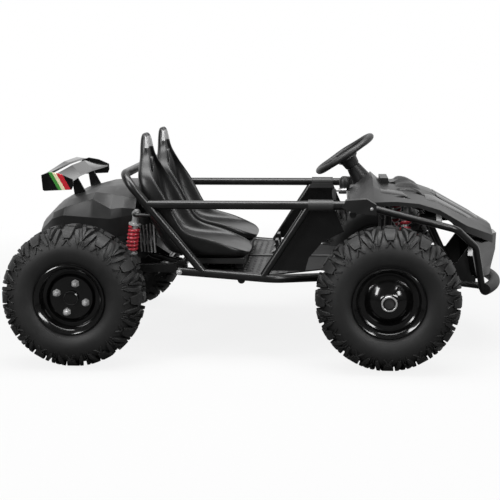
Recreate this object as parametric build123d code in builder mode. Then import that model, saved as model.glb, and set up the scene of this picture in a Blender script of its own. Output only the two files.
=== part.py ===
from build123d import *
import os
from math import cos, radians, sin

# Two-seat off-road kart. Millimetres, X forward, Y to the left, Z up from the floor.

# Overall sizes
WHEELBASE = 884.0
FRONT_OVERHANG = 363.0
TRACK = 770.0
TYRE_RADIUS = 203.0
TYRE_WIDTH = 160.0
RAIL_Z = 453.0
FLOOR_Z = 252.0
SEAT_SPACING = 320.0
SEAT_WIDTH = 270.0
RAIL_GAP = 21.0
RAIL_SPACING = SEAT_SPACING + SEAT_WIDTH + 2 * RAIL_GAP

# Sections and clearances
TUBE_R = 12.5
SLIM_R = 10.0
SKIN = 0.3
PANEL = 4.0
SHELL = 5.0

# Steering
ROAD_LOCK = 22.0
WHEEL_LOCK = 55.0
KINGPIN_INSET = 50.0
STEER_ARM = 80.0
COLUMN_RISE = 56.0

# Shared positions
LENGTH = TYRE_RADIUS + WHEELBASE + FRONT_OVERHANG
REAR_X = TYRE_RADIUS - LENGTH / 2
FRONT_X = REAR_X + WHEELBASE
AXLE_Z = TYRE_RADIUS
HALF_TRACK = TRACK / 2
RAIL_Y = RAIL_SPACING / 2
SEAT_Y = SEAT_SPACING / 2
KING_Y = HALF_TRACK - KINGPIN_INSET
LEFT = 1
RIGHT = -1


def aft(x, y, z):
    """A point given from the rear axle."""
    return (REAR_X + x, y, z)


def fore(x, y, z):
    """A point given from the front axle."""
    return (FRONT_X + x, y, z)


def start_plane(line):
    return Plane(origin=line @ 0, z_dir=line % 0)


# Tyres, one moulded casing each, and the pressed wheels inside them
BEAD_R = 89.0
BEAD_HALF = 62.0
FLANGE_R = 100.0
RIM_HALF = 70.0
RIM_WALL = 4.5
SPINDLE_R = 8.0
AXLE_R = 12.5
HUB_R = 20.0
STUD_PCD = 86.0
STUD_R = 5.0
BARREL_R = BEAD_R - RIM_WALL
# half width, depth of the casing below the tread's top, depth of the lugs' tops
TYRE_SECTION = (
    (TYRE_WIDTH / 2 - 44, 13.0, 0.0),
    (TYRE_WIDTH / 2 - 14, 25.0, 14.0),
    (TYRE_WIDTH / 2, 48.0, 52.0),
)
LUGS = 24
LUG_WIDTH = 28.0
LUG_ROOT = 140.0
SIDE_R = 125.0
BEAD_SIDES = 12


def wheel_plane(axle_x, side):
    """Sketch plane through an axle: first coordinate outward from it, second toward the outside."""
    return Plane(origin=(axle_x, side * HALF_TRACK, AXLE_Z), x_dir=(0, 0, 1), z_dir=(-side, 0, 0))


def axle_line(axle_x):
    return Axis((axle_x, 0, AXLE_Z), (0, 1, 0))


def tyre_band(rows, turn):
    """A flat-sided band through one depth at each half width, the same on both sides."""
    with BuildPart() as band:
        for half, depth in [(-half, depth) for half, depth in reversed(rows)] + rows:
            with BuildSketch(Plane.XZ.offset(half)):
                RegularPolygon(TYRE_RADIUS - depth, LUGS, major_radius=False, rotation=turn)
        loft(ruled=True)
    return band


casing_band = tyre_band([(half, depth) for half, depth, over in TYRE_SECTION], 0)
lug_band = tyre_band([(half, over) for half, depth, over in TYRE_SECTION], 180.0 / LUGS)
with BuildPart() as tyre_lugs:
    with BuildSketch(Plane.XZ):
        RegularPolygon(LUG_ROOT, LUGS)
        with PolarLocations((TYRE_RADIUS + LUG_ROOT) / 2, LUGS):
            Rectangle(TYRE_RADIUS - LUG_ROOT + 20, LUG_WIDTH)
    extrude(amount=TYRE_WIDTH / 2, both=True)
    add(lug_band.part, mode=Mode.INTERSECT)

with BuildPart() as tyre_casing:
    add(casing_band.part)
    add(tyre_lugs.part)
    for face in (TYRE_WIDTH / 2, -TYRE_WIDTH / 2):
        bead = BEAD_HALF + SKIN if face > 0 else -BEAD_HALF - SKIN
        for half, radius in ((face, SIDE_R), (bead, FLANGE_R + 1)):
            with BuildSketch(Plane.XZ.offset(half)):
                RegularPolygon(radius, BEAD_SIDES, major_radius=False)
        loft(ruled=True, mode=Mode.SUBTRACT)
    with BuildSketch(Plane.XZ):
        RegularPolygon(BEAD_R + SKIN, BEAD_SIDES, major_radius=False)
    extrude(amount=TYRE_WIDTH, both=True, mode=Mode.SUBTRACT)


def make_tyre(axle_x, side):
    with BuildPart() as tyre:
        with Locations((axle_x, side * HALF_TRACK, AXLE_Z)):
            add(tyre_casing.part)
    return tyre


def make_rim(axle_x, side, web):
    """The barrel with its two flanges and the web between barrel and bore."""
    seat = BEAD_HALF + SKIN
    section = [
        (FLANGE_R, -RIM_HALF),
        (FLANGE_R, -seat),
        (BEAD_R, -seat),
        (BEAD_R, seat),
        (FLANGE_R, seat),
        (FLANGE_R, RIM_HALF),
        (FLANGE_R - 5, RIM_HALF),
        (BARREL_R, RIM_HALF - 9),
        *web,
        (BARREL_R, 9 - RIM_HALF),
        (FLANGE_R - 5, -RIM_HALF),
    ]
    with BuildPart() as rim:
        with BuildSketch(wheel_plane(axle_x, side)):
            Polygon(*section, align=None)
        revolve(axis=axle_line(axle_x))
    return rim


HUB_FACE = 72.0
SPINDLE_BORE = SPINDLE_R + SKIN
FRONT_WEB = (
    (BARREL_R, 40),
    (66, 40),
    (58, 47),
    (40, 60),
    (24, 66),
    (24, HUB_FACE),
    (SPINDLE_BORE, HUB_FACE),
    (SPINDLE_BORE, -36),
    (22, -36),
    (22, 59),
    (40, 54),
    (57, 41.5),
    (65, 35),
    (BARREL_R, 35),
)
WEB_OUT = 37.0
WEB_IN = 31.0
REAR_WEB = (
    (BARREL_R, 28),
    (68, 28),
    (61, WEB_OUT),
    (HUB_R + SKIN, WEB_OUT),
    (HUB_R + SKIN, WEB_IN),
    (60, WEB_IN),
    (66, 22),
    (BARREL_R, 22),
)
STUD_TURN = -18.0


def stud_places(side):
    """The four wheel studs, on the outer side of the rear hub."""
    return Plane(
        origin=(REAR_X, side * (HALF_TRACK + WEB_IN), AXLE_Z),
        x_dir=(1, 0, 0),
        z_dir=(0, side, 0),
    )


tyre_front_left = make_tyre(FRONT_X, LEFT)
tyre_front_right = make_tyre(FRONT_X, RIGHT)
tyre_rear_left = make_tyre(REAR_X, LEFT)
tyre_rear_right = make_tyre(REAR_X, RIGHT)
rim_front_left = make_rim(FRONT_X, LEFT, FRONT_WEB)
rim_front_right = make_rim(FRONT_X, RIGHT, FRONT_WEB)


def make_rear_rim(side):
    plain = make_rim(REAR_X, side, REAR_WEB)
    with BuildPart() as rim:
        add(plain.part)
        with BuildSketch(stud_places(side)):
            with PolarLocations(STUD_PCD / 2, 4, start_angle=STUD_TURN):
                Circle(STUD_R + SKIN)
        extrude(amount=WEB_OUT, both=True, mode=Mode.SUBTRACT)
    return rim


rim_rear_left = make_rear_rim(LEFT)
rim_rear_right = make_rear_rim(RIGHT)

# Live rear axle with the two flanged hubs, their studs and nuts
HUB_FLANGE = 8.0
with BuildPart() as rear_axle:
    with BuildSketch(Plane.XZ):
        with Locations((REAR_X, AXLE_Z)):
            Circle(AXLE_R)
    extrude(amount=HALF_TRACK, both=True)
    for side in (LEFT, RIGHT):
        hub_end = stud_places(side)
        with BuildSketch(hub_end):
            Circle(STUD_PCD / 2 + 10)
        extrude(amount=-HUB_FLANGE)
        with BuildSketch(hub_end.offset(WEB_OUT - WEB_IN + 8)):
            Circle(HUB_R)
        extrude(amount=-60)
        with BuildSketch(hub_end):
            with PolarLocations(STUD_PCD / 2, 4, start_angle=STUD_TURN):
                Circle(STUD_R)
        extrude(amount=21)
        with BuildSketch(hub_end.offset(WEB_OUT - WEB_IN)):
            with PolarLocations(STUD_PCD / 2, 4, start_angle=STUD_TURN):
                RegularPolygon(9, 6)
        extrude(amount=10)

# Drive: sprocket on the axle, chain loop, motor on the swing arm; brake disc on the other side
DRIVE_Y = 150.0
BRAKE_Y = -150.0
SPROCKET_R = 55.0
PINION_R = 21.0
CHAIN_W = 8.0
CHAIN_H = 8.0
CHAIN_SIDES = 16
MOTOR_U = 128.0
MOTOR_Z = 262.0
MOTOR_R = 52.0
MOTOR_L = 130.0


def ring_on_axle(radius, width, at_y, sleeve):
    with BuildPart() as ring:
        with BuildSketch(Plane.XZ.offset(-at_y)):
            with Locations((REAR_X, AXLE_Z)):
                Circle(radius)
        extrude(amount=width / 2, both=True)
        with BuildSketch(Plane.XZ.offset(-at_y)):
            with Locations((REAR_X, AXLE_Z)):
                Circle(AXLE_R + 10)
        extrude(amount=sleeve / 2, both=True)
        with BuildSketch(Plane.XZ.offset(-at_y)):
            with Locations((REAR_X, AXLE_Z)):
                Circle(AXLE_R)
        extrude(amount=sleeve, both=True, mode=Mode.SUBTRACT)
    return ring


sprocket = ring_on_axle(SPROCKET_R, 6.0, DRIVE_Y, 30.0)
brake_disc = ring_on_axle(70.0, 4.0, BRAKE_Y, 30.0)

with BuildPart() as drive_chain:
    with BuildSketch(Plane.XZ.offset(-DRIVE_Y)):
        with Locations((REAR_X, AXLE_Z)):
            RegularPolygon(SPROCKET_R + SKIN + CHAIN_H, CHAIN_SIDES, major_radius=False)
        with Locations((REAR_X + MOTOR_U, MOTOR_Z)):
            RegularPolygon(PINION_R + SKIN + CHAIN_H, CHAIN_SIDES, major_radius=False)
        make_hull()
    extrude(amount=CHAIN_W / 2, both=True)
    with BuildSketch(Plane.XZ.offset(-DRIVE_Y)):
        with Locations((REAR_X, AXLE_Z)):
            RegularPolygon(SPROCKET_R + SKIN, CHAIN_SIDES, major_radius=False)
        with Locations((REAR_X + MOTOR_U, MOTOR_Z)):
            RegularPolygon(PINION_R + SKIN, CHAIN_SIDES, major_radius=False)
        make_hull()
    extrude(amount=CHAIN_W, both=True, mode=Mode.SUBTRACT)

MOTOR_GAP = 16.0
with BuildPart() as motor:
    with BuildSketch(Plane.XZ.offset(-(DRIVE_Y - CHAIN_W / 2 - MOTOR_GAP))):
        with Locations((REAR_X + MOTOR_U, MOTOR_Z)):
            Circle(MOTOR_R)
    extrude(amount=MOTOR_L)
    with BuildSketch(Plane.XZ.offset(-(DRIVE_Y + CHAIN_W))):
        with Locations((REAR_X + MOTOR_U, MOTOR_Z)):
            Circle(PINION_R)
    extrude(amount=CHAIN_W + 20)

# Lower rails: a pair of tubes that narrow ahead of the footwell
PIVOT_U = 288.0
PIVOT_Z = 262.0
WHEEL_ROOM = 129.0
WAIST_V = -139.0
WAIST_Y = KING_Y - WHEEL_ROOM
WAIST_Z = FLOOR_Z - 24
NOSE_V = 226.0
NOSE_Y = WAIST_Y - 56
NOSE_Z = FLOOR_Z - 51


def rail_point(from_front, side):
    """The middle of a lower rail ahead of its waist, at a distance from the front axle."""
    share = (from_front - WAIST_V) / (NOSE_V - WAIST_V)
    across = WAIST_Y + share * (NOSE_Y - WAIST_Y)
    return fore(from_front, side * across, WAIST_Z + share * (NOSE_Z - WAIST_Z))


with BuildPart() as lower_rails:
    with BuildLine() as path:
        FilletPolyline(
            aft(PIVOT_U, -RAIL_Y, PIVOT_Z),
            fore(-318, -RAIL_Y, FLOOR_Z - 11),
            rail_point(WAIST_V, RIGHT),
            rail_point(NOSE_V, RIGHT),
            radius=110,
        )
    with BuildSketch(start_plane(path.line)):
        Circle(TUBE_R)
    sweep()
    mirror(about=Plane.XZ)

# Cross tubes between the lower rails, the rear one being the swing arm's pivot
CROSS_R = 11.0
# distance from rear axle, from front axle, half length, height
CROSS_TUBES = (
    (PIVOT_U, None, RAIL_Y, PIVOT_Z),
    (470.0, None, RAIL_Y, FLOOR_Z - PANEL - CROSS_R),
    (None, WAIST_V, WAIST_Y, FLOOR_Z - PANEL - CROSS_R),
    (None, 218.0, NOSE_Y, FLOOR_Z - 50),
)
with BuildPart() as cross_tubes:
    for from_rear, from_front, half, height in CROSS_TUBES:
        across = REAR_X + from_rear if from_front is None else FRONT_X + from_front
        with BuildSketch(Plane.XZ):
            with Locations((across, height)):
                Circle(CROSS_R)
        extrude(amount=half, both=True)
    add(lower_rails.part, mode=Mode.SUBTRACT)

# Roll hoop behind the seats: two leaning legs and the top bar, with a stub for each damper
HOOP_TOP = aft(132, -RAIL_Y, 537)
HOOP_FOOT = aft(359, -RAIL_Y, FLOOR_Z + 8)
DAMPER_TOP = aft(161, -270, 422)
with BuildPart() as rear_hoop:
    with BuildLine() as path:
        FilletPolyline(
            HOOP_FOOT,
            HOOP_TOP,
            (HOOP_TOP[0], RAIL_Y, HOOP_TOP[2]),
            (HOOP_FOOT[0], RAIL_Y, HOOP_FOOT[2]),
            radius=55,
        )
    with BuildSketch(start_plane(path.line)):
        Circle(TUBE_R)
    sweep()
    add(lower_rails.part, mode=Mode.SUBTRACT)

LEG_SHARE = (DAMPER_TOP[2] - HOOP_FOOT[2]) / (HOOP_TOP[2] - HOOP_FOOT[2])
LEG_X = HOOP_FOOT[0] + LEG_SHARE * (HOOP_TOP[0] - HOOP_FOOT[0])
with BuildPart() as damper_stubs:
    with BuildLine() as path:
        FilletPolyline(
            (LEG_X, -RAIL_Y, DAMPER_TOP[2]),
            (DAMPER_TOP[0], -RAIL_Y + 8, DAMPER_TOP[2]),
            DAMPER_TOP,
            radius=12,
        )
    with BuildSketch(start_plane(path.line)):
        Circle(6)
    sweep()
    mirror(about=Plane.XZ)
    add(rear_hoop.part, mode=Mode.SUBTRACT)

# Upper side rails from the hoop to the front fairings
RAIL_END = -84.0
RAIL_SHARE = (RAIL_Z - HOOP_FOOT[2]) / (HOOP_TOP[2] - HOOP_FOOT[2])
RAIL_START = HOOP_FOOT[0] + RAIL_SHARE * (HOOP_TOP[0] - HOOP_FOOT[0])
with BuildPart() as upper_rails:
    with BuildSketch(Plane.YZ.offset(RAIL_START)):
        with Locations((-RAIL_Y, RAIL_Z), (RAIL_Y, RAIL_Z)):
            Circle(TUBE_R)
    extrude(amount=FRONT_X + RAIL_END - RAIL_START)
    add(rear_hoop.part, mode=Mode.SUBTRACT)

# Door pillars, leaning forward from floor to rail
PILLAR_R = 11.0
with BuildPart() as pillars:
    with BuildLine() as path:
        Line(fore(-354, -RAIL_Y, FLOOR_Z - 8), fore(-220, -RAIL_Y, RAIL_Z))
    with BuildSketch(start_plane(path.line)):
        Circle(PILLAR_R)
    sweep()
    mirror(about=Plane.XZ)
    add(lower_rails.part, mode=Mode.SUBTRACT)
    add(upper_rails.part, mode=Mode.SUBTRACT)

# Dash tube across the rails; front hoop over the lower rails; nose rails to the bumper
DASH_U = -98.0
DASH_Z = RAIL_Z - 26
with BuildPart() as dash_tube:
    with BuildSketch(Plane.XZ):
        with Locations((FRONT_X + DASH_U, DASH_Z)):
            Circle(SLIM_R)
    extrude(amount=RAIL_Y, both=True)
    add(upper_rails.part, mode=Mode.SUBTRACT)

HOOP_F = 8.0
HOOP_F_Y = 192.0
with BuildPart() as front_hoop:
    with BuildLine() as path:
        FilletPolyline(
            rail_point(HOOP_F, RIGHT),
            fore(HOOP_F, -HOOP_F_Y, RAIL_Z),
            fore(HOOP_F, HOOP_F_Y, RAIL_Z),
            rail_point(HOOP_F, LEFT),
            radius=40,
        )
    with BuildSketch(start_plane(path.line)):
        Circle(SLIM_R)
    sweep()
    add(lower_rails.part, mode=Mode.SUBTRACT)

# Bumper bar, bowed across the front
BAR_R = 17.0
BAR_Z = 190.0
BAR_HALF = 190.0
with BuildPart() as bumper_bar:
    with BuildLine() as path:
        ThreePointArc(
            fore(FRONT_OVERHANG - BAR_R - 52, -BAR_HALF, BAR_Z),
            fore(FRONT_OVERHANG - BAR_R, 0, BAR_Z),
            fore(FRONT_OVERHANG - BAR_R - 52, BAR_HALF, BAR_Z),
        )
    with BuildSketch(start_plane(path.line)):
        Circle(BAR_R)
    sweep()
    with BuildLine() as path:
        Line(rail_point(NOSE_V - 4, RIGHT), fore(FRONT_OVERHANG - 50, -NOSE_Y, BAR_Z))
    with BuildSketch(start_plane(path.line)):
        Circle(SLIM_R)
    sweep()
    mirror(about=Plane.XZ)
    add(lower_rails.part, mode=Mode.SUBTRACT)
    add(cross_tubes.part, mode=Mode.SUBTRACT)

# Front side tubes: from the rail ends down past the lamps to the bumper bar
with BuildPart() as front_tubes:
    with BuildLine() as path:
        FilletPolyline(
            fore(RAIL_END, -RAIL_Y, RAIL_Z),
            fore(-40, -RAIL_Y, RAIL_Z - 8),
            fore(195, -RAIL_Y + 16, RAIL_Z - 69),
            fore(258, -232, RAIL_Z - 130),
            fore(288, -178, BAR_Z),
            radius=40,
        )
    with BuildSketch(start_plane(path.line)):
        Circle(SLIM_R)
    sweep()
    mirror(about=Plane.XZ)
    add(bumper_bar.part, mode=Mode.SUBTRACT)
    add(upper_rails.part, mode=Mode.SUBTRACT)

# Nose rails: from the front hoop forward and down to the front cross tube
NOSE_RAIL_IN = 30.0
with BuildPart() as nose_rails:
    with BuildLine() as path:
        FilletPolyline(
            fore(HOOP_F, -HOOP_F_Y + NOSE_RAIL_IN, RAIL_Z),
            fore(110, -HOOP_F_Y + NOSE_RAIL_IN, RAIL_Z - 24),
            fore(218, -NOSE_Y + NOSE_RAIL_IN, FLOOR_Z - 50),
            radius=60,
        )
    with BuildSketch(start_plane(path.line)):
        Circle(9)
    sweep()
    mirror(about=Plane.XZ)
    add(front_hoop.part, mode=Mode.SUBTRACT)
    add(cross_tubes.part, mode=Mode.SUBTRACT)

# Rear subframe under the tail: two bent tubes from the pivot tube, joined at the back
with BuildPart() as rear_subframe:
    with BuildLine() as path:
        FilletPolyline(
            aft(PIVOT_U, -190, PIVOT_Z),
            aft(190, -190, 286),
            aft(146, -190, 345),
            aft(70, -175, 432),
            aft(-105, -120, 384),
            aft(-105, 120, 384),
            aft(70, 175, 432),
            aft(146, 190, 345),
            aft(190, 190, 286),
            aft(PIVOT_U, 190, PIVOT_Z),
            radius=25,
        )
    with BuildSketch(start_plane(path.line)):
        Circle(9)
    sweep()
    add(cross_tubes.part, mode=Mode.SUBTRACT)

# Swing arm: two box-section bars, a cross tube, eyes on the pivot and bearing carriers on the axle
ARM_Y = 262.0
ARM_H = 24.0
ARM_BEND = 110.0
ARM_W = 20.0
with BuildPart() as swing_arm:
    with BuildSketch(Plane.XZ.offset(ARM_Y - ARM_W / 2)):
        with BuildLine():
            Polyline(
                (REAR_X + PIVOT_U, PIVOT_Z - ARM_H / 2),
                (REAR_X + PIVOT_U, PIVOT_Z + ARM_H / 2),
                (REAR_X + ARM_BEND, PIVOT_Z - 4 + ARM_H / 2),
                (REAR_X, AXLE_Z + ARM_H / 2),
                (REAR_X, AXLE_Z - ARM_H / 2),
                (REAR_X + ARM_BEND, PIVOT_Z - 4 - ARM_H / 2),
                close=True,
            )
        make_face()
        with Locations((REAR_X + PIVOT_U, PIVOT_Z)):
            Circle(CROSS_R + 9)
        with Locations((REAR_X, AXLE_Z)):
            Circle(AXLE_R + 16)
    extrude(amount=ARM_W)
    mirror(about=Plane.XZ)
    with BuildSketch(Plane.XZ):
        with Locations((REAR_X + 212, PIVOT_Z - 15)):
            Circle(10)
    extrude(amount=ARM_Y - 5, both=True)
    with BuildSketch(Plane.XZ):
        with Locations((REAR_X + PIVOT_U, PIVOT_Z)):
            Circle(CROSS_R + SKIN)
        with Locations((REAR_X, AXLE_Z)):
            Circle(AXLE_R + SKIN)
    extrude(amount=ARM_Y + ARM_W, both=True, mode=Mode.SUBTRACT)

# Motor plate: a bent bracket between the cross tube and the motor
with BuildPart() as motor_plate:
    with BuildSketch(Plane.XZ.offset(40)):
        with BuildLine():
            Polyline(
                (REAR_X + MOTOR_U, MOTOR_Z - MOTOR_R - 8),
                (REAR_X + 212, PIVOT_Z - 32),
                (REAR_X + 222, PIVOT_Z),
                (REAR_X + MOTOR_U, MOTOR_Z + MOTOR_R + 8),
                close=True,
            )
        make_face()
    extrude(amount=-120)
    add(motor.part, mode=Mode.SUBTRACT)
    add(swing_arm.part, mode=Mode.SUBTRACT)

# Rear dampers: body, rod and eyes, each with a coil spring around it
DAMPER_LOW = aft(139, -ARM_Y, PIVOT_Z - 3 + ARM_H / 2 + 11)
SPRING_R = 18.0
SPRING_IN = 12.0
COIL = 16.0
DAMPER_EYE_R = 11.0


def damper_plane(low, high):
    """Sketch plane along a damper: first coordinate sideways, second up the damper."""
    run = Vector(*high) - Vector(*low)
    side = run.cross(Vector(0, 1, 0)).normalized()
    return Plane(origin=low, x_dir=side, z_dir=side.cross(run.normalized()))


def make_damper(low, high, seat_low, seat_high):
    run = (Vector(*high) - Vector(*low)).length
    body = [
        (0, 0),
        (7, 0),
        (7, seat_low),
        (SPRING_R, seat_low),
        (SPRING_R, seat_low + 5),
        (SPRING_IN - 1, seat_low + 5),
        (SPRING_IN - 1, run - seat_high - 5),
        (SPRING_R, run - seat_high - 5),
        (SPRING_R, run - seat_high),
        (10, run - seat_high),
        (10, run),
        (0, run),
    ]
    plane = damper_plane(low, high)
    with BuildPart() as damper:
        with BuildSketch(plane):
            Polygon(*body, align=None)
        revolve(axis=Axis(low, plane.y_dir))
        for end in (low, high):
            with BuildSketch(Plane(origin=end, z_dir=(0, 1, 0))):
                Circle(DAMPER_EYE_R)
            extrude(amount=10, both=True)
        mirror(about=Plane.XZ)
    return damper


def make_spring(low, high, seat_low, seat_high):
    """The coils as a ribbed sleeve between the two seats."""
    run = (Vector(*high) - Vector(*low)).length
    base = seat_low + 5
    turns = int((run - seat_high - 5 - base) / COIL)
    pitch = (run - seat_high - 5 - base) / turns
    wave = [(SPRING_IN, base)]
    for turn in range(turns):
        wave.append((SPRING_R, base + (turn + 0.3) * pitch))
        wave.append((SPRING_R, base + (turn + 0.7) * pitch))
        wave.append((SPRING_IN + 2, base + (turn + 1) * pitch))
    wave.append((SPRING_IN, base + turns * pitch))
    plane = damper_plane(low, high)
    with BuildPart() as spring:
        with BuildSketch(plane):
            Polygon(*wave, align=None)
        revolve(axis=Axis(low, plane.y_dir))
        mirror(about=Plane.XZ)
    return spring


rear_damper_raw = make_damper(DAMPER_LOW, DAMPER_TOP, 22, 30)
with BuildPart() as rear_dampers:
    add(rear_damper_raw.part)
    add(swing_arm.part, mode=Mode.SUBTRACT)
    add(damper_stubs.part, mode=Mode.SUBTRACT)
rear_springs = make_spring(DAMPER_LOW, DAMPER_TOP, 22, 30)

# Front suspension: lower wishbones, upper links and dampers
EYE_R = 12.5
POST_LOW = AXLE_Z - 50
POST_HIGH = AXLE_Z + 60
PIN_R = 6.0
ARM_SPREAD = 55.0
LOW_ARM_R = 8.0
LOW_ARM_OUT = fore(0, -KING_Y, POST_LOW - 14)
with BuildPart() as lower_arms:
    for reach in (-ARM_SPREAD, ARM_SPREAD):
        with BuildLine() as path:
            Line(LOW_ARM_OUT, rail_point(reach, RIGHT))
        with BuildSketch(start_plane(path.line)):
            Circle(LOW_ARM_R)
        sweep()
    with BuildSketch(Plane.XY.offset(POST_LOW - SKIN)):
        with Locations((FRONT_X, -KING_Y)):
            Circle(EYE_R)
    extrude(amount=-16)
    with BuildSketch(Plane.XY.offset(POST_LOW - SKIN)):
        with Locations((FRONT_X, -KING_Y)):
            Circle(EYE_R)
    extrude(amount=40, mode=Mode.SUBTRACT)
    with BuildSketch(Plane.XY.offset(POST_LOW - 8)):
        with Locations((FRONT_X, -KING_Y)):
            Circle(PIN_R)
    extrude(amount=28)
    mirror(about=Plane.XZ)
    add(lower_rails.part, mode=Mode.SUBTRACT)

with BuildPart() as upper_links:
    with BuildLine() as path:
        Line(fore(0, -KING_Y, POST_HIGH + 10), fore(HOOP_F, -HOOP_F_Y, POST_HIGH + 34))
    with BuildSketch(start_plane(path.line)):
        Circle(8)
    sweep()
    with BuildSketch(Plane.XY.offset(POST_HIGH + SKIN)):
        with Locations((FRONT_X, -KING_Y)):
            Circle(EYE_R)
    extrude(amount=14)
    with BuildSketch(Plane.XY.offset(POST_HIGH + SKIN)):
        with Locations((FRONT_X, -KING_Y)):
            Circle(EYE_R)
    extrude(amount=-40, mode=Mode.SUBTRACT)
    with BuildSketch(Plane.XY.offset(POST_HIGH + 8)):
        with Locations((FRONT_X, -KING_Y)):
            Circle(PIN_R)
    extrude(amount=-28)
    mirror(about=Plane.XZ)
    add(front_hoop.part, mode=Mode.SUBTRACT)

DAMPER_SHARE = 0.6
ARM_RUN = Vector(*rail_point(ARM_SPREAD, RIGHT)) - Vector(*LOW_ARM_OUT)
F_DAMPER_LOW = tuple(Vector(*LOW_ARM_OUT) + ARM_RUN * DAMPER_SHARE + Vector(0, 0, LOW_ARM_R + DAMPER_EYE_R - 1))
F_DAMPER_TOP = fore(64, -HOOP_F_Y + 2, RAIL_Z - 12)
front_damper_raw = make_damper(F_DAMPER_LOW, F_DAMPER_TOP, 62, 22)
with BuildPart() as front_dampers:
    add(front_damper_raw.part)
    with BuildSketch(Plane(origin=F_DAMPER_TOP, z_dir=(0, 1, 0))):
        Circle(5)
    extrude(amount=NOSE_RAIL_IN)
    mirror(about=Plane.XZ)
    add(lower_arms.part, mode=Mode.SUBTRACT)
    add(nose_rails.part, mode=Mode.SUBTRACT)
front_springs = make_spring(F_DAMPER_LOW, F_DAMPER_TOP, 62, 22)

# Steering knuckles: post, spindle with its end nut, and the arm to the tie bar
ARM_IN = 95.0
ARM_Z = AXLE_Z + 40
ARM_T = 10.0


def make_knuckle(side):
    king_y = side * KING_Y
    with BuildPart() as knuckle:
        with BuildSketch(Plane.XY.offset(POST_LOW)):
            with Locations((FRONT_X, king_y)):
                Circle(11)
        extrude(amount=POST_HIGH - POST_LOW)
        with BuildSketch(wheel_plane(FRONT_X, side)):
            Polygon(
                (0, -KINGPIN_INSET),
                (12, -KINGPIN_INSET),
                (12, -37),
                (SPINDLE_R, -37),
                (SPINDLE_R, HUB_FACE + SKIN),
                (12, HUB_FACE + SKIN),
                (12, HUB_FACE + 7),
                (0, HUB_FACE + 7),
                align=None,
            )
        revolve(axis=axle_line(FRONT_X))
        with BuildSketch(Plane.XY.offset(ARM_Z)):
            with BuildLine():
                Polyline(
                    (FRONT_X, king_y + side * 8),
                    (FRONT_X - 8, king_y - side * 8),
                    (FRONT_X + 12, king_y - side * (ARM_IN - KINGPIN_INSET - 4)),
                    (FRONT_X + STEER_ARM, king_y - side * (ARM_IN - KINGPIN_INSET + 9)),
                    (FRONT_X + STEER_ARM, king_y - side * (ARM_IN - KINGPIN_INSET - 9)),
                    (FRONT_X + 24, king_y - side * (ARM_IN - KINGPIN_INSET - 14)),
                    close=True,
                )
            make_face()
            with Locations((FRONT_X + STEER_ARM, king_y - side * (ARM_IN - KINGPIN_INSET))):
                Circle(9)
        extrude(amount=ARM_T)
        for level, depth in ((POST_LOW, 21), (POST_HIGH, -21)):
            with BuildSketch(Plane.XY.offset(level)):
                with Locations((FRONT_X, king_y)):
                    Circle(PIN_R + SKIN)
            extrude(amount=depth, mode=Mode.SUBTRACT)
    return knuckle


knuckle_left = make_knuckle(LEFT)
knuckle_right = make_knuckle(RIGHT)

# Steering column's line, with the drop arm at its foot and the pin that the arm carries
TIE_R = 6.0
TIE_Y = HALF_TRACK - ARM_IN
TIE_Z = ARM_Z - 8
LUG_T = 8.0
LUG_Z = TIE_Z - LUG_T / 2
LUG_X = FRONT_X + STEER_ARM
WHEEL_R = 100.0
GRIP_R = 11.0
COLUMN_R = 9.0
COLUMN_L = 340.0
DRIVE_PIN_R = 4.5
STEER_Y = SEAT_Y
STEER_HUB = fore(-116, STEER_Y, 561)
COLUMN_DIR = Vector(cos(radians(COLUMN_RISE)), 0, -sin(radians(COLUMN_RISE)))
COLUMN_BACK = Vector(-sin(radians(COLUMN_RISE)), 0, -cos(radians(COLUMN_RISE)))
PITMAN = STEER_ARM * sin(radians(ROAD_LOCK)) / sin(radians(WHEEL_LOCK))
COLUMN_END = Vector(*STEER_HUB) + COLUMN_DIR * COLUMN_L
PIN_TOP = COLUMN_END - COLUMN_BACK * PITMAN
PIN_L = (PIN_TOP.Z - LUG_Z) / sin(radians(COLUMN_RISE))
PIN_X = PIN_TOP.X - (PIN_TOP.Z - TIE_Z) * COLUMN_DIR.X / COLUMN_DIR.Z
STEER_PLANE = Plane(origin=STEER_HUB, x_dir=(0, 1, 0), z_dir=-COLUMN_DIR)

# Tie bar between the two steering arms, with the slotted lug that the column's pin drives
# room that the pin needs in the slot, from its place with the wheels straight
SLOT_BACK = 33.0
SLOT_AHEAD = 11.0
SLOT_LEFT = 9.0
SLOT_RIGHT = 13.5
SLOT_X = PIN_X + (SLOT_AHEAD - SLOT_BACK) / 2
SLOT_Y = STEER_Y + (SLOT_LEFT - SLOT_RIGHT) / 2
LUG_EDGE = 9.0
LUG_END = PIN_X + SLOT_AHEAD + LUG_EDGE
with BuildPart() as tie_bar:
    with BuildSketch(Plane.XZ):
        with Locations((LUG_X, TIE_Z)):
            Circle(TIE_R)
    extrude(amount=TIE_Y, both=True)
    with BuildSketch(Plane.XY.offset(ARM_Z - SKIN)):
        with Locations((LUG_X, -TIE_Y), (LUG_X, TIE_Y)):
            Circle(10)
    extrude(amount=-16)
    with BuildSketch(Plane.XY.offset(LUG_Z)):
        with Locations(((LUG_X + LUG_END) / 2, SLOT_Y)):
            Rectangle(LUG_END - LUG_X, SLOT_LEFT + SLOT_RIGHT + 2 * LUG_EDGE)
        with Locations((SLOT_X, SLOT_Y)):
            Rectangle(SLOT_BACK + SLOT_AHEAD, SLOT_LEFT + SLOT_RIGHT, mode=Mode.SUBTRACT)
    extrude(amount=LUG_T)

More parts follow.
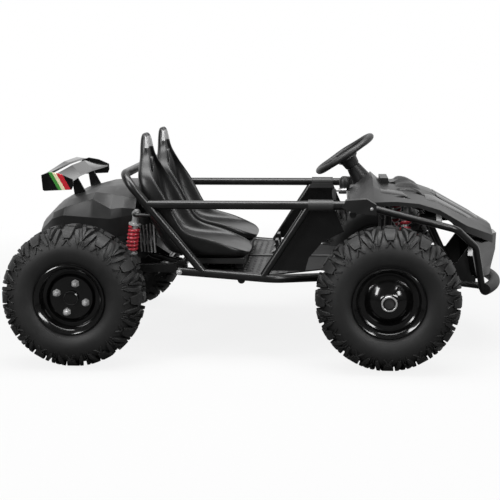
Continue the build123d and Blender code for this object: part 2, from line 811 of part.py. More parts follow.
# Steering column with its drop arm, and the wheel at its top
with BuildPart() as steering_column:
    with BuildSketch(STEER_PLANE):
        Circle(COLUMN_R)
    extrude(amount=-COLUMN_L)
    with BuildSketch(STEER_PLANE.offset(-COLUMN_L)):
        Circle(13)
        with BuildLine():
            Polyline((-12, 0), (12, 0), (8, -PITMAN), (-8, -PITMAN), close=True)
        make_face()
        with Locations((0, -PITMAN)):
            Circle(8)
    extrude(amount=10)
    with BuildSketch(STEER_PLANE.offset(-COLUMN_L)):
        with Locations((0, -PITMAN)):
            Circle(DRIVE_PIN_R)
    extrude(amount=-PIN_L)

SPOKES = 3
with BuildPart() as steering_wheel:
    with BuildSketch(Plane(origin=STEER_HUB, x_dir=(0, 1, 0), z_dir=STEER_PLANE.y_dir)):
        with Locations((WHEEL_R, 0)):
            Circle(GRIP_R)
    revolve(axis=Axis(STEER_HUB, COLUMN_DIR))
    with BuildSketch(STEER_PLANE.offset(-22)):
        Circle(34)
    extrude(amount=22)
    with BuildSketch(STEER_PLANE.offset(-9)):
        with PolarLocations(0, SPOKES, start_angle=-90):
            with Locations((WHEEL_R / 2, 0)):
                Rectangle(WHEEL_R, 24)
    extrude(amount=6)
    with BuildSketch(STEER_PLANE.offset(-22)):
        Circle(COLUMN_R)
    extrude(amount=30, mode=Mode.SUBTRACT)

# Column bearings: a collar on the dash tube and one on the front hoop's bracket
with BuildPart() as column_bearings:
    for reach, width in ((128, 24), (222, 24)):
        with BuildSketch(STEER_PLANE.offset(-reach)):
            Circle(COLUMN_R + 9)
            Circle(COLUMN_R + SKIN, mode=Mode.SUBTRACT)
        extrude(amount=-width)
    upper = Vector(*STEER_HUB) + COLUMN_DIR * 140
    lower = Vector(*STEER_HUB) + COLUMN_DIR * 234
    with BuildLine() as path:
        Line(upper + COLUMN_BACK * (COLUMN_R + 5), (FRONT_X + DASH_U, STEER_Y, DASH_Z))
    with BuildSketch(start_plane(path.line)):
        Circle(8)
    sweep()
    with BuildLine() as path:
        Line(lower + Vector(0, COLUMN_R + 7, 0), (FRONT_X + HOOP_F, HOOP_F_Y, lower.Z - 8))
    with BuildSketch(start_plane(path.line)):
        Circle(5)
    sweep()
    add(dash_tube.part, mode=Mode.SUBTRACT)
    add(front_hoop.part, mode=Mode.SUBTRACT)

# Floor: two chequer plates either side of a centre strip
FLOOR_Y = RAIL_Y - TUBE_R - 1
FLOOR_BACK = REAR_X + 330
FLOOR_BEND = FRONT_X - 330
FLOOR_FRONT = FRONT_X - 142
with BuildPart() as floor_plates:
    with BuildSketch(Plane.XY.offset(FLOOR_Z - PANEL)):
        with BuildLine():
            Polyline(
                (FLOOR_BACK, -FLOOR_Y),
                (FLOOR_BEND, -FLOOR_Y),
                (FLOOR_FRONT, -WAIST_Y + TUBE_R + 6),
                (FLOOR_FRONT, -9),
                (FLOOR_BACK, -9),
                close=True,
            )
        make_face()
    extrude(amount=PANEL)
    mirror(about=Plane.XZ)

with BuildPart() as floor_strip:
    with BuildSketch(Plane.XY.offset(FLOOR_Z - PANEL)):
        with Locations(((FLOOR_BACK + FLOOR_FRONT) / 2, 0)):
            Rectangle(FLOOR_FRONT - FLOOR_BACK, 18)
    extrude(amount=PANEL + 3)

# Seats: one-piece moulded buckets with tall narrow heads
# distance from rear axle, height
SEAT_SIDE = (
    (165, 640),
    (162, 567),
    (168, 450),
    (190, 420),
    (226, 344),
    (242, 310),
    (272, 290),
    (470, 290),
    (486, 301),
    (470, 312),
    (398, 342),
    (337, 357),
    (306, 368),
    (288, 394),
    (270, 433),
    (250, 470),
    (210, 528),
    (190, 585),
    (184, 640),
    (174, 649),
)
SEAT_HOLLOW = (
    (182, 660),
    (180, 600),
    (184, 540),
    (194, 450),
    (230, 375),
    (262, 338),
    (312, 324),
    (400, 327),
    (500, 300),
    (520, 420),
    (300, 660),
)
# half width as a share of the seat's, height
SEAT_FRONT = ((0.80, 280), (1.0, 330), (1.0, 470), (0.93, 525), (0.50, 572), (0.37, 600), (0.32, 636), (0.20, 651))
SEAT_EDGE = 17.0


def make_seat(side):
    middle = side * SEAT_Y
    with BuildPart() as seat:
        with BuildSketch(Plane.XZ.offset(-middle)):
            with BuildLine():
                Polyline(*[(REAR_X + x, z) for x, z in SEAT_SIDE], close=True)
            make_face()
        extrude(amount=SEAT_WIDTH / 2, both=True)
        with BuildSketch(Plane.YZ):
            half = [(middle + share * SEAT_WIDTH / 2, z) for share, z in SEAT_FRONT]
            other = [(middle - share * SEAT_WIDTH / 2, z) for share, z in reversed(SEAT_FRONT)]
            Polygon(*half, *other, align=None)
        extrude(amount=LENGTH, both=True, mode=Mode.INTERSECT)
        with BuildSketch(Plane.XZ.offset(-middle)):
            with BuildLine():
                Polyline(*[(REAR_X + x, z) for x, z in SEAT_HOLLOW], close=True)
            make_face()
        extrude(amount=SEAT_WIDTH / 2 - SEAT_EDGE, both=True, mode=Mode.SUBTRACT)
    return seat


seat_left = make_seat(LEFT)
seat_right = make_seat(RIGHT)

# Seat base: the tray that both buckets are bolted to, with feet on the floor
BASE_TOP = 290.0
with BuildPart() as seat_base:
    with BuildSketch(Plane.XY.offset(BASE_TOP - 18)):
        with Locations((REAR_X + 395, 0)):
            Rectangle(160, 2 * SEAT_Y + 0.8 * SEAT_WIDTH - 20)
    extrude(amount=18)
    with BuildSketch(Plane.XY.offset(FLOOR_Z)):
        for foot in (-200, -120, 120, 200):
            with Locations((REAR_X + 456, foot), (REAR_X + 350, foot)):
                Rectangle(24, 40)
    extrude(amount=BASE_TOP - 18 - FLOOR_Z)

# Battery: one plain block under the tail, on the subframe
with BuildPart() as battery_box:
    with BuildSketch(Plane.XY.offset(340)):
        with Locations((REAR_X + 34, 0)):
            Rectangle(130, 240)
    extrude(amount=76)
    with BuildSketch(Plane.XY.offset(416)):
        with Locations((REAR_X + 40, 0)):
            Rectangle(50, 344)
    extrude(amount=5)
    add(rear_subframe.part, mode=Mode.SUBTRACT)

# Tail: a faceted shell over the drive, open below
# from rear axle, then half width and height of the top, deck, hip, side and skirt
TAIL = (
    (-155, (50, 385), (90, 380), (120, 372), (150, 352), (150, 318)),
    (-100, (80, 436), (150, 428), (205, 414), (225, 398), (222, 330)),
    (-60, (95, 459), (180, 449), (236, 433), (250, 412), (246, 342)),
    (26, (105, 481), (190, 474), (236, 459), (254, 406), (248, 342)),
    (80, (108, 485), (196, 468), (240, 430), (252, 402), (245, 346)),
    (114, (110, 485), (206, 464), (241, 434), (247, 408), (242, 352)),
    (152, (115, 478), (212, 456), (236, 430), (238, 412), (236, 372)),
)
SKIRT_CLEAR = 60.0


def tail_ring(row, inset):
    rings = list(row[1:])
    skirt, skirt_z = rings.pop()
    half = [(skirt - inset, skirt_z - SKIRT_CLEAR if inset else skirt_z)]
    half += [(across - inset, height - inset) for across, height in reversed(rings)]
    return half + [(-y, z) for y, z in reversed(half)]


with BuildPart() as tail_shell:
    for row in TAIL:
        with BuildSketch(Plane.YZ.offset(REAR_X + row[0])):
            Polygon(*tail_ring(row, 0), align=None)
    loft(ruled=True)
    for row in TAIL:
        shift = SHELL if row is TAIL[0] else (1 if row is TAIL[-1] else 0)
        with BuildSketch(Plane.YZ.offset(REAR_X + row[0] + shift)):
            Polygon(*tail_ring(row, SHELL), align=None)
    loft(ruled=True, mode=Mode.SUBTRACT)

# Louvred covers beside the drive
COVER_Y = 232.0
COVER = ((144, 400), (183, 420), (215, 344), (214, 330), (178, 282), (158, 286), (144, 300))
with BuildPart() as side_covers:
    with BuildSketch(Plane.XZ.offset(COVER_Y - 12)):
        with BuildLine():
            Polyline(*[(REAR_X + x, z) for x, z in COVER], close=True)
        make_face()
        for slot in range(4):
            with Locations(Location((REAR_X + 168 + slot * 11, 352 - slot * 4), 14)):
                SlotOverall(84 - slot * 8, 5, rotation=90, mode=Mode.SUBTRACT)
    extrude(amount=12)
    mirror(about=Plane.XZ)
    add(tail_shell.part, mode=Mode.SUBTRACT)

# Wing: two slats in three straight spans, cranked up between the stays, with end plates
WING_HALF = 250.0
WING_CRANK = 80.0
SLAT = 6.0
# trailing and leading edge at the tip, then at the crank; from rear axle, height
SLATS = (
    ((-118, 529), (-97, 536), (-95, 556), (-76, 553)),
    ((-90, 527), (-29, 516), (-70, 545), (-46, 516)),
)
with BuildPart() as wing_blade:
    for tip_trail, tip_lead, mid_trail, mid_lead in SLATS:
        for across, trail, lead in (
            (-WING_HALF, tip_trail, tip_lead),
            (-WING_CRANK, mid_trail, mid_lead),
            (WING_CRANK, mid_trail, mid_lead),
            (WING_HALF, tip_trail, tip_lead),
        ):
            with BuildSketch(Plane.XZ.offset(across)):
                Polygon(
                    (REAR_X + trail[0], trail[1]),
                    (REAR_X + lead[0], lead[1]),
                    (REAR_X + lead[0], lead[1] - SLAT),
                    (REAR_X + trail[0], trail[1] - SLAT),
                    align=None,
                )
        loft(ruled=True)

END_PLATE = ((-120, 531), (-117, 487), (-112, 484), (-31, 488), (-26, 500), (-27, 519), (-62, 534), (-96, 540))
with BuildPart() as wing_ends:
    with BuildSketch(Plane.XZ.offset(WING_HALF)):
        with BuildLine():
            Polyline(*[(REAR_X + x, z) for x, z in END_PLATE], close=True)
        make_face()
    extrude(amount=SLAT)
    mirror(about=Plane.XZ)

STAY_Y = 107.0
WING_STAY = ((-58, 455), (-22, 464), (-54, 523), (-70, 537))
with BuildPart() as wing_stays:
    with BuildSketch(Plane.XZ.offset(STAY_Y)):
        with BuildLine():
            Polyline(*[(REAR_X + x, z) for x, z in WING_STAY], close=True)
        make_face()
    extrude(amount=SLAT)
    mirror(about=Plane.XZ)
    add(wing_blade.part, mode=Mode.SUBTRACT)
    add(tail_shell.part, mode=Mode.SUBTRACT)

# Side panels: footwell walls between pillar, rails and wheel arch, with a sleeve on the rail
PANEL_Y = RAIL_Y - TUBE_R - 2
with BuildPart() as side_panels:
    with BuildSketch(Plane.XZ.offset(PANEL_Y - PANEL)):
        with BuildLine():
            Polyline(
                fore(-352, 0, 262)[::2],
                fore(-224, 0, RAIL_Z - 4)[::2],
                fore(-153, 0, RAIL_Z - 4)[::2],
                fore(-122, 0, 377)[::2],
                fore(-184, 0, 345)[::2],
                fore(-222, 0, 300)[::2],
                fore(-232, 0, 262)[::2],
                close=True,
            )
        make_face()
    extrude(amount=PANEL)
    with BuildSketch(Plane.YZ.offset(FRONT_X - 224)):
        with Locations((-RAIL_Y, RAIL_Z)):
            Circle(TUBE_R + 3.5)
    extrude(amount=71)
    with BuildSketch(Plane.YZ.offset(FRONT_X - 230)):
        with Locations((-RAIL_Y, RAIL_Z)):
            Circle(TUBE_R)
    extrude(amount=90, mode=Mode.SUBTRACT)
    mirror(about=Plane.XZ)
    add(pillars.part, mode=Mode.SUBTRACT)

# Front body: dash, bonnet and nose in one faceted shell that is open below
# from front axle, half ridge, height, half shoulder, height, edge inside the rails, height, depth of the edge
BONNET = (
    (-104, 60, 452, 150, 450, 30, 446, 8),
    (-36, 90, 511, 180, 491, 24, 459, 12),
    (-8, 85, 487, 186, 479, 20, 461, 12),
    (26, 80, 487, 185, 475, 18, 462, 12),
    (88, 70, 481, 175, 467, 22, 456, 12),
    (148, 62, 461, 160, 449, 44, 436, 14),
    (232, 50, 414, 128, 403, 94, 384, 20),
    (326, 34, 362, 66, 352, 220, 338, 24),
)
# distance from front axle, distance from the middle
VENTS = (
    ((20, 238), (70, 240), (52, 212)),
    ((80, 160), (122, 150), (98, 130)),
    ((136, 66), (182, 94), (160, 98)),
)
# distance from front axle, height
DASH_POD = ((-9, 476), (-11, 505), (13, 505), (16, 476))
HUMP = ((14, 476), (18, 490), (46, 495), (77, 487), (92, 472))
POD_HALF = 62.0
HUMP_HALF = 44.0
SHROUD_TOP = 50.0
SHROUD_LOW = 112.0


def bonnet_ring(row, inset):
    _, ridge, ridge_z, shoulder, shoulder_z, edge_in, edge_z, depth = row
    edge = RAIL_Y - edge_in
    drop = edge_z - depth - (SKIRT_CLEAR if inset else 0)
    half = [
        (edge - inset, drop),
        (edge - inset, edge_z - inset),
        (shoulder - inset / 2, shoulder_z - inset),
        (ridge - inset / 2, ridge_z - inset),
    ]
    return half + [(-y, z) for y, z in reversed(half)]


with BuildPart() as bonnet:
    for row in BONNET:
        with BuildSketch(Plane.YZ.offset(FRONT_X + row[0])):
            Polygon(*bonnet_ring(row, 0), align=None)
    loft(ruled=True)
    for row in BONNET:
        shift = SHELL if row is BONNET[0] else (-SHELL if row is BONNET[-1] else 0)
        with BuildSketch(Plane.YZ.offset(FRONT_X + row[0] + shift)):
            Polygon(*bonnet_ring(row, SHELL), align=None)
    loft(ruled=True, mode=Mode.SUBTRACT)
    for outline, half in ((DASH_POD, POD_HALF), (HUMP, HUMP_HALF)):
        with BuildSketch(Plane.XZ):
            with BuildLine():
                Polyline(*[(FRONT_X + x, z) for x, z in outline], close=True)
            make_face()
        extrude(amount=half, both=True)
    for side in (LEFT, RIGHT):
        for vent in VENTS:
            with BuildSketch(Plane.XY.offset(RAIL_Z - 60)):
                Polygon(*[(FRONT_X + x, side * y) for x, y in vent], align=None)
            extrude(amount=120, mode=Mode.SUBTRACT)
    for reach, radius in ((SHROUD_TOP, 22), (SHROUD_LOW, 34)):
        with BuildSketch(STEER_PLANE.offset(-reach)):
            Circle(radius)
    loft()
    with BuildSketch(STEER_PLANE):
        Circle(COLUMN_R + 6)
    extrude(amount=-COLUMN_L, mode=Mode.SUBTRACT)

# Nose: a wedge in plan below the bonnet's tip
# height, reach at the middle, half width there, reach at the sides, half width there
NOSE = (
    (336, 346, 34, 262, 150),
    (286, 344, 38, 258, 172),
    (240, 330, 60, 268, 168),
    (214, 322, 80, 276, 150),
)
NOSE_WALL = 14.0
with BuildPart() as nose:
    for height, reach, half, back, wide in NOSE:
        with BuildSketch(Plane.XY.offset(height)):
            Polygon(
                (FRONT_X + reach, half),
                (FRONT_X + reach, -half),
                (FRONT_X + back, -wide),
                (FRONT_X + back - NOSE_WALL, -wide + NOSE_WALL / 2),
                (FRONT_X + reach - NOSE_WALL, -half),
                (FRONT_X + reach - NOSE_WALL, half),
                (FRONT_X + back - NOSE_WALL, wide - NOSE_WALL / 2),
                (FRONT_X + back, wide),
                align=None,
            )
    loft(ruled=True)
    add(bonnet.part, mode=Mode.SUBTRACT)
    add(bumper_bar.part, mode=Mode.SUBTRACT)
    add(front_tubes.part, mode=Mode.SUBTRACT)

# Nose guards: flat plates between the lower rails' ends and the nose
GUARD = ((190, 262), (214, 262), (240, 300), (256, 322), (268, 280), (272, 206), (218, 206), (214, 232), (190, 232))
with BuildPart() as nose_guards:
    with BuildSketch(Plane.XZ.offset(NOSE_Y - PANEL / 2)):
        with BuildLine():
            Polyline(*[(FRONT_X + x, z) for x, z in GUARD], close=True)
        make_face()
    extrude(amount=PANEL)
    mirror(about=Plane.XZ)
    add(nose.part, mode=Mode.SUBTRACT)
    add(lower_rails.part, mode=Mode.SUBTRACT)
    add(bumper_bar.part, mode=Mode.SUBTRACT)
    add(nose_rails.part, mode=Mode.SUBTRACT)
    add(cross_tubes.part, mode=Mode.SUBTRACT)

# Rail fairings where the upper rails enter the front body
with BuildPart() as rail_fairings:
    with BuildSketch(Plane.XZ.offset(RAIL_Y - 15)):
        with BuildLine():
            Polyline(
                fore(-130, 0, RAIL_Z - 4)[::2],
                fore(-118, 0, RAIL_Z + 16)[::2],
                fore(-60, 0, RAIL_Z + 20)[::2],
                fore(-33, 0, RAIL_Z + 4)[::2],
                fore(-33, 0, RAIL_Z - 26)[::2],
                fore(-100, 0, RAIL_Z - 18)[::2],
                close=True,
            )
        make_face()
    extrude(amount=32)
    mirror(about=Plane.XZ)
    add(upper_rails.part, mode=Mode.SUBTRACT)
    add(front_tubes.part, mode=Mode.SUBTRACT)
    add(dash_tube.part, mode=Mode.SUBTRACT)
    add(bonnet.part, mode=Mode.SUBTRACT)

# Posts that carry the tail and the bonnet on the tubes below them
# from rear axle, across, foot, top
TAIL_POSTS = ((70, 175, 432, 469), (-105, 100, 384, 421))
BONNET_POST = (HOOP_F, 74, RAIL_Z, 484.5)
with BuildPart() as body_posts:
    for along, across, foot, top in TAIL_POSTS:
        with BuildSketch(Plane.XY.offset(foot)):
            with Locations((REAR_X + along, across), (REAR_X + along, -across)):
                Circle(6)
        extrude(amount=top - foot)
    with BuildSketch(Plane.XY.offset(BONNET_POST[2])):
        with Locations((FRONT_X + BONNET_POST[0], BONNET_POST[1]), (FRONT_X + BONNET_POST[0], -BONNET_POST[1])):
            Circle(6)
    extrude(amount=BONNET_POST[3] - BONNET_POST[2])
    add(rear_subframe.part, mode=Mode.SUBTRACT)
    add(front_hoop.part, mode=Mode.SUBTRACT)
    add(tail_shell.part, mode=Mode.SUBTRACT)
    add(bonnet.part, mode=Mode.SUBTRACT)

# Headlamps: a pair of short tubes with bright bezels, on stems from the front hoop
LAMP = fore(94, -240, 406)
LAMP_R = 18.0
LAMP_L = 61.0
with BuildPart() as headlamps:
    with BuildSketch(Plane.YZ.offset(LAMP[0])):
        with Locations((LAMP[1], LAMP[2])):
            Circle(LAMP_R - 3)
    extrude(amount=LAMP_L - 14)
    with BuildSketch(Plane.YZ.offset(LAMP[0] + LAMP_L - 14)):
        with Locations((LAMP[1], LAMP[2])):
            Circle(LAMP_R)
    extrude(amount=14)
    with BuildLine() as path:
        Line((LAMP[0] + 30, LAMP[1], LAMP[2]), fore(105, -HOOP_F_Y + 30, RAIL_Z - 26))
    with BuildSketch(start_plane(path.line)):
        Circle(5)
    sweep()
    mirror(about=Plane.XZ)
    add(nose_rails.part, mode=Mode.SUBTRACT)

# Pedals: brake and throttle on hinged stems ahead of the left seat
FOOT_ROOM = 48.0
PEDAL_X = REAR_X + max(x for x, z in SEAT_SIDE) + FOOT_ROOM
with BuildPart() as pedals:
    for across in (SEAT_Y - 90, SEAT_Y + 40):
        with BuildSketch(Plane.XZ.offset(-across)):
            with BuildLine():
                Polyline(
                    (PEDAL_X, FLOOR_Z),
                    (PEDAL_X + 32, FLOOR_Z),
                    (PEDAL_X + 28, FLOOR_Z + 12),
                    (PEDAL_X + 24, FLOOR_Z + 42),
                    (PEDAL_X + 14, FLOOR_Z + 42),
                    (PEDAL_X + 16, FLOOR_Z + 10),
                    close=True,
                )
            make_face()
        extrude(amount=22, both=True)

# Brake caliper: a block straddling the disc on a lug from the swing arm
with BuildPart() as brake_caliper:
    with BuildSketch(Plane.XZ.offset(-BRAKE_Y)):
        with Locations((REAR_X + 66, AXLE_Z + 12)):
            Rectangle(36, 50)
    extrude(amount=16, both=True)
    with BuildSketch(Plane.XZ.offset(-BRAKE_Y)):
        with Locations((REAR_X, AXLE_Z)):
            Circle(75)
    extrude(amount=6, both=True, mode=Mode.SUBTRACT)
    with BuildSketch(Plane.XZ.offset(-BRAKE_Y + 8)):
        with Locations((REAR_X + 70, AXLE_Z + 18)):
            Circle(6)
    extrude(amount=ARM_Y - 150)
    add(swing_arm.part, mode=Mode.SUBTRACT)

# Write every piece
PIECES = {
    "tyre_front_left": tyre_front_left,
    "tyre_front_right": tyre_front_right,
    "tyre_rear_left": tyre_rear_left,
    "tyre_rear_right": tyre_rear_right,
    "rim_front_left": rim_front_left,
    "rim_front_right": rim_front_right,
    "rim_rear_left": rim_rear_left,
    "rim_rear_right": rim_rear_right,
    "rear_axle": rear_axle,
    "sprocket": sprocket,
    "brake_disc": brake_disc,
    "drive_chain": drive_chain,
    "motor": motor,
    "motor_plate": motor_plate,
    "brake_caliper": brake_caliper,
    "swing_arm": swing_arm,
    "rear_dampers": rear_dampers,
    "rear_springs": rear_springs,
    "lower_arms": lower_arms,
    "upper_links": upper_links,
    "front_dampers": front_dampers,
    "front_springs": front_springs,
    "knuckle_left": knuckle_left,
    "knuckle_right": knuckle_right,
    "tie_bar": tie_bar,
    "steering_column": steering_column,
    "steering_wheel": steering_wheel,
    "column_bearings": column_bearings,
    "lower_rails": lower_rails,
    "cross_tubes": cross_tubes,
    "rear_hoop": rear_hoop,
    "damper_stubs": damper_stubs,
    "upper_rails": upper_rails,
    "pillars": pillars,
    "dash_tube": dash_tube,
    "front_hoop": front_hoop,
    "nose_rails": nose_rails,
    "front_tubes": front_tubes,
    "bumper_bar": bumper_bar,
    "rear_subframe": rear_subframe,
    "floor_plates": floor_plates,
    "floor_strip": floor_strip,
    "seat_left": seat_left,
    "seat_right": seat_right,
    "seat_base": seat_base,
    "battery_box": battery_box,
    "tail_shell": tail_shell,
    "side_covers": side_covers,
    "wing_blade": wing_blade,
    "wing_ends": wing_ends,
    "wing_stays": wing_stays,
    "side_panels": side_panels,
    "bonnet": bonnet,
    "nose": nose,
    "nose_guards": nose_guards,
    "rail_fairings": rail_fairings,
    "body_posts": body_posts,
    "headlamps": headlamps,
    "pedals": pedals,
}
os.makedirs("parts", exist_ok=True)
for label, piece in PIECES.items():
    piece.part.label = label
    export_step(piece.part, f"parts/{label}.step")
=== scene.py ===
import bpy
from math import cos, hypot, pi, radians, sin
from mathutils import Matrix, Vector
from mathutils.bvhtree import BVHTree


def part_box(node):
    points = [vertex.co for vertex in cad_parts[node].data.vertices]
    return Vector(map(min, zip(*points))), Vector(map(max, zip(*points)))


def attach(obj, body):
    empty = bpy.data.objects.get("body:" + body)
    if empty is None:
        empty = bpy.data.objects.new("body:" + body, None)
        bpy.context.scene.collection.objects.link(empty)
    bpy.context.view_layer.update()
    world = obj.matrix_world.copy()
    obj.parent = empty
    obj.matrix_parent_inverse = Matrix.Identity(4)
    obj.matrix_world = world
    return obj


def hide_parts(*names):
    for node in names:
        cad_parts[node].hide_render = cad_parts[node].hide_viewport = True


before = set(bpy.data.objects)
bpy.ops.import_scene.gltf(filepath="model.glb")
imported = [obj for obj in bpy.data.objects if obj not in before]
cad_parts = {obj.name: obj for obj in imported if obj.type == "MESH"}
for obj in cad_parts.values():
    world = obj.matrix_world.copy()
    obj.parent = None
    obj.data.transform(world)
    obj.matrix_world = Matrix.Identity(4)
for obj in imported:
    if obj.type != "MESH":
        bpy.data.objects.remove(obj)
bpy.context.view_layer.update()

# Tyres: tubeless balloon tyres in black rubber, moulded with a lugged tread of twelve pitches.
# The sidewall carries carets, slanted legs and ribs that run down from each shoulder block.
MM = 0.001


class Flow:
    """One output of a material's nodes, with arithmetic."""

    def __init__(self, tree, socket=None):
        self.tree = tree
        self.socket = socket

    def node(self, kind, inputs, out=0, **settings):
        made = self.tree.nodes.new("ShaderNode" + kind)
        stops = settings.pop("stops", ())
        for key, value in settings.items():
            setattr(made, key, value)
        for place, shade in stops[2:]:
            made.color_ramp.elements.new(place)
        for index, (place, shade) in enumerate(stops):
            made.color_ramp.elements[index].position = place
            made.color_ramp.elements[index].color = (*shade, 1.0)
        for key, value in inputs.items():
            if isinstance(value, Flow):
                self.tree.links.new(value.socket, made.inputs[key])
            else:
                made.inputs[key].default_value = value
        return Flow(self.tree, made.outputs[out])

    def __add__(self, other):
        return self.node("Math", {0: self, 1: other}, operation="ADD")

    def __sub__(self, other):
        return self.node("Math", {0: self, 1: other}, operation="SUBTRACT")

    def __rsub__(self, other):
        return self.node("Math", {0: other, 1: self}, operation="SUBTRACT")

    def __mul__(self, other):
        return self.node("Math", {0: self, 1: other}, operation="MULTIPLY")

    def __gt__(self, other):
        return self.node("Math", {0: self, 1: other}, operation="GREATER_THAN")

    def __lt__(self, other):
        return self.node("Math", {0: self, 1: other}, operation="LESS_THAN")

    __radd__ = __add__
    __rmul__ = __mul__


def spot(flow):
    """The place on the piece, in metres of the shared frame."""
    return flow.node("TexCoord", {}, out="Object")


def axis_of(flow, letter):
    return flow.node("SeparateXYZ", {0: spot(flow)}, out=letter)


def noise(flow, scale, detail=4.0):
    return flow.node("TexNoise", {"Vector": spot(flow), "Scale": scale, "Detail": detail})


def shades(flow, mask, *stops):
    return flow.node("ValToRGB", {0: mask}, stops=stops)


def bump(flow, height, strength, distance):
    return flow.node("Bump", {"Height": height, "Strength": strength, "Distance": distance})


def tint(flow, mask, low, high):
    """A colour that goes from low to high with the mask."""
    colours = [c if isinstance(c, Flow) else (*c, 1.0) for c in (low, high)]
    return flow.node("Mix", {0: mask, 6: colours[0], 7: colours[1]}, out=2, data_type="RGBA")


def grey(value, warm=0.0):
    return (value * (1 + warm), value, value * (1 - warm))


def finish(name, looks, **fixed):
    """A material: looks gives the sockets that vary over the surface, fixed the others."""
    made = bpy.data.materials.new(name)
    made.use_nodes = True
    shader = made.node_tree.nodes["Principled BSDF"]
    for socket, value in fixed.items():
        shader.inputs[socket.replace("_", " ")].default_value = value
    for socket, value in looks(Flow(made.node_tree)).items():
        made.node_tree.links.new(value.socket, shader.inputs[socket])
    return made


def coat(name, dark, light, rough, vary, cloud=30.0, grain=600.0, relief=0.1, **fixed):
    """A finish with a faint cloud in its colour and gloss and a fine grain."""

    def looks(flow):
        mask = noise(flow, cloud, 5.0)
        return {
            "Base Color": shades(flow, mask, (0.3, dark), (0.75, light)),
            "Roughness": rough + vary * mask,
            "Normal": bump(flow, noise(flow, grain, 2.0), relief, 0.0004),
        }

    return finish(name, looks, **fixed)


RUBBER = coat("tyre_rubber", grey(0.009), grey(0.018), 0.46, 0.2, 14.0, 900.0, 0.3, Specular_IOR_Level=0.35)


def piece(name, mesh, material, body, stands_for=(), smooth=40.0):
    """A finished piece: a mesh in the frame's own place that rides on a body and may stand for CAD nodes."""
    for polygon in mesh.polygons:
        polygon.use_smooth = True
    mesh.set_sharp_from_angle(angle=radians(smooth))
    made = bpy.data.objects.new(name, mesh)
    bpy.context.collection.objects.link(made)
    mesh.materials.append(material)
    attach(made, body)
    if stands_for:
        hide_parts(*stands_for)
    return made


def shape(name, points, faces):
    mesh = bpy.data.meshes.new(name)
    mesh.from_pydata(points, [], faces)
    mesh.update()
    return mesh


def centre_of(node):
    low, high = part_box(node)
    return [(a + b) / 2 for a, b in zip(low, high)]


# radius and half width of the casing from the middle of the tread to the bead
CASING = (
    (190, 0),
    (189.5, 20),
    (186.5, 38),
    (181, 52),
    (173, 63),
    (163, 71),
    (151, 76.5),
    (138, 78.5),
    (126, 77.5),
    (114, 73),
    (106, 67),
    (101, 62.5),
    (90, 61.5),
)
TURNS = 144
PITCHES = 12
# each lug's rows: run along the casing from the tread's middle, first and last degree, height
SHOULDER_BAR = ((26, -4.6, 4.6, 12.5), (46, -4.8, 4.8, 12.0), (60, -4.2, 4.2, 10.0), (69, -3.2, 3.2, 6.5))
CENTRE_BAR = ((0, -3.6, 3.2, 12.5), (20, -1.4, 5.4, 12.5))
CENTRE_ARROW = ((0, 11.6, 17.2, 12.5), (14, 13.4, 18.6, 12.5))
CARET = ((72, -1.4, 0.6, 6.0), (88, -5.0, -3.0, 3.5))
LEG = ((40, 5.8, 9.2, 12.0), (56, 6.6, 10.4, 11.0), (70, 8.2, 12.0, 8.5), (82, 9.8, 12.4, 4.5))
TAIL_RIB = ((80, 10.6, 11.8, 3.5), (93, 11.8, 12.5, 1.2))
ARROW_ARM = ((18, 9.6, 12.6, 12.5), (38, 11.4, 14.6, 12.0), (58, 13.3, 15.2, 10.0), (67, 14.2, 15.2, 6.5))
SIDE_RIB = ((72, 13.2, 14.5, 4.5), (86, 13.5, 14.3, 1.8))
PLAIN = (SHOULDER_BAR, CENTRE_BAR, CENTRE_ARROW)
MIRRORED = (CARET, LEG, TAIL_RIB, ARROW_ARM, SIDE_RIB)
LUG_TRIM = 0.4


def casing_at(run):
    """Radius, half width and outward normal at a run along the casing."""
    for (r0, s0), (r1, s1) in zip(CASING, CASING[1:]):
        step = hypot(r1 - r0, s1 - s0)
        if run <= step:
            share = run / step
            return r0 + share * (r1 - r0), s0 + share * (s1 - s0), (s1 - s0) / step, (r0 - r1) / step
        run -= step
    raise ValueError("run past the bead")


def turned(rows, steps):
    """Points and faces of a closed profile of radius and distance along, turned about the Y axis."""
    points = []
    faces = []
    size = len(rows)
    for turn in range(steps):
        angle = 2 * pi * turn / steps
        points += [(r * sin(angle) * MM, s * MM, r * cos(angle) * MM) for r, s in rows]
        after = (turn + 1) % steps
        for k in range(size):
            nxt = (k + 1) % size
            faces.append((turn * size + k, turn * size + nxt, after * size + nxt, after * size + k))
    return points, faces


def lug(points, faces, rows, middle, side, flip):
    """One tread block, lofted through its rows on the casing."""
    start = len(points)
    for run, first, last, height in rows:
        r, s, nr, ns = casing_at(run)
        if flip:
            first, last = -last, -first
        corners = (
            (first, -2.0),
            (first + LUG_TRIM * 0.2, height * 0.72),
            (first + LUG_TRIM, height),
            (last - LUG_TRIM, height),
            (last - LUG_TRIM * 0.2, height * 0.72),
            (last, -2.0),
        )
        for degrees, lift in corners:
            angle = radians(middle + degrees)
            radius = r + nr * lift
            points.append((radius * sin(angle) * MM, side * (s + ns * lift) * MM, radius * cos(angle) * MM))
    rings = [range(start + 6 * row, start + 6 * row + 6) for row in range(len(rows))]
    block = [tuple(rings[0])[::-1], tuple(rings[-1])]
    for low, high in zip(rings, rings[1:]):
        block += [(low[k], low[(k + 1) % 6], high[(k + 1) % 6], high[k]) for k in range(6)]
    faces += [face if side < 0 else face[::-1] for face in block]


def tyre_mesh():
    points, faces = turned([(r, -s) for r, s in reversed(CASING[1:])] + list(CASING), TURNS)
    for pitch in range(PITCHES):
        middle = 360.0 * pitch / PITCHES
        for side in (-1, 1):
            for rows in PLAIN + MIRRORED:
                lug(points, faces, rows, middle, side, False)
            for rows in MIRRORED:
                lug(points, faces, rows, middle, side, True)
    return shape("tyre_casing", points, faces)


TYRE_MESH = tyre_mesh()
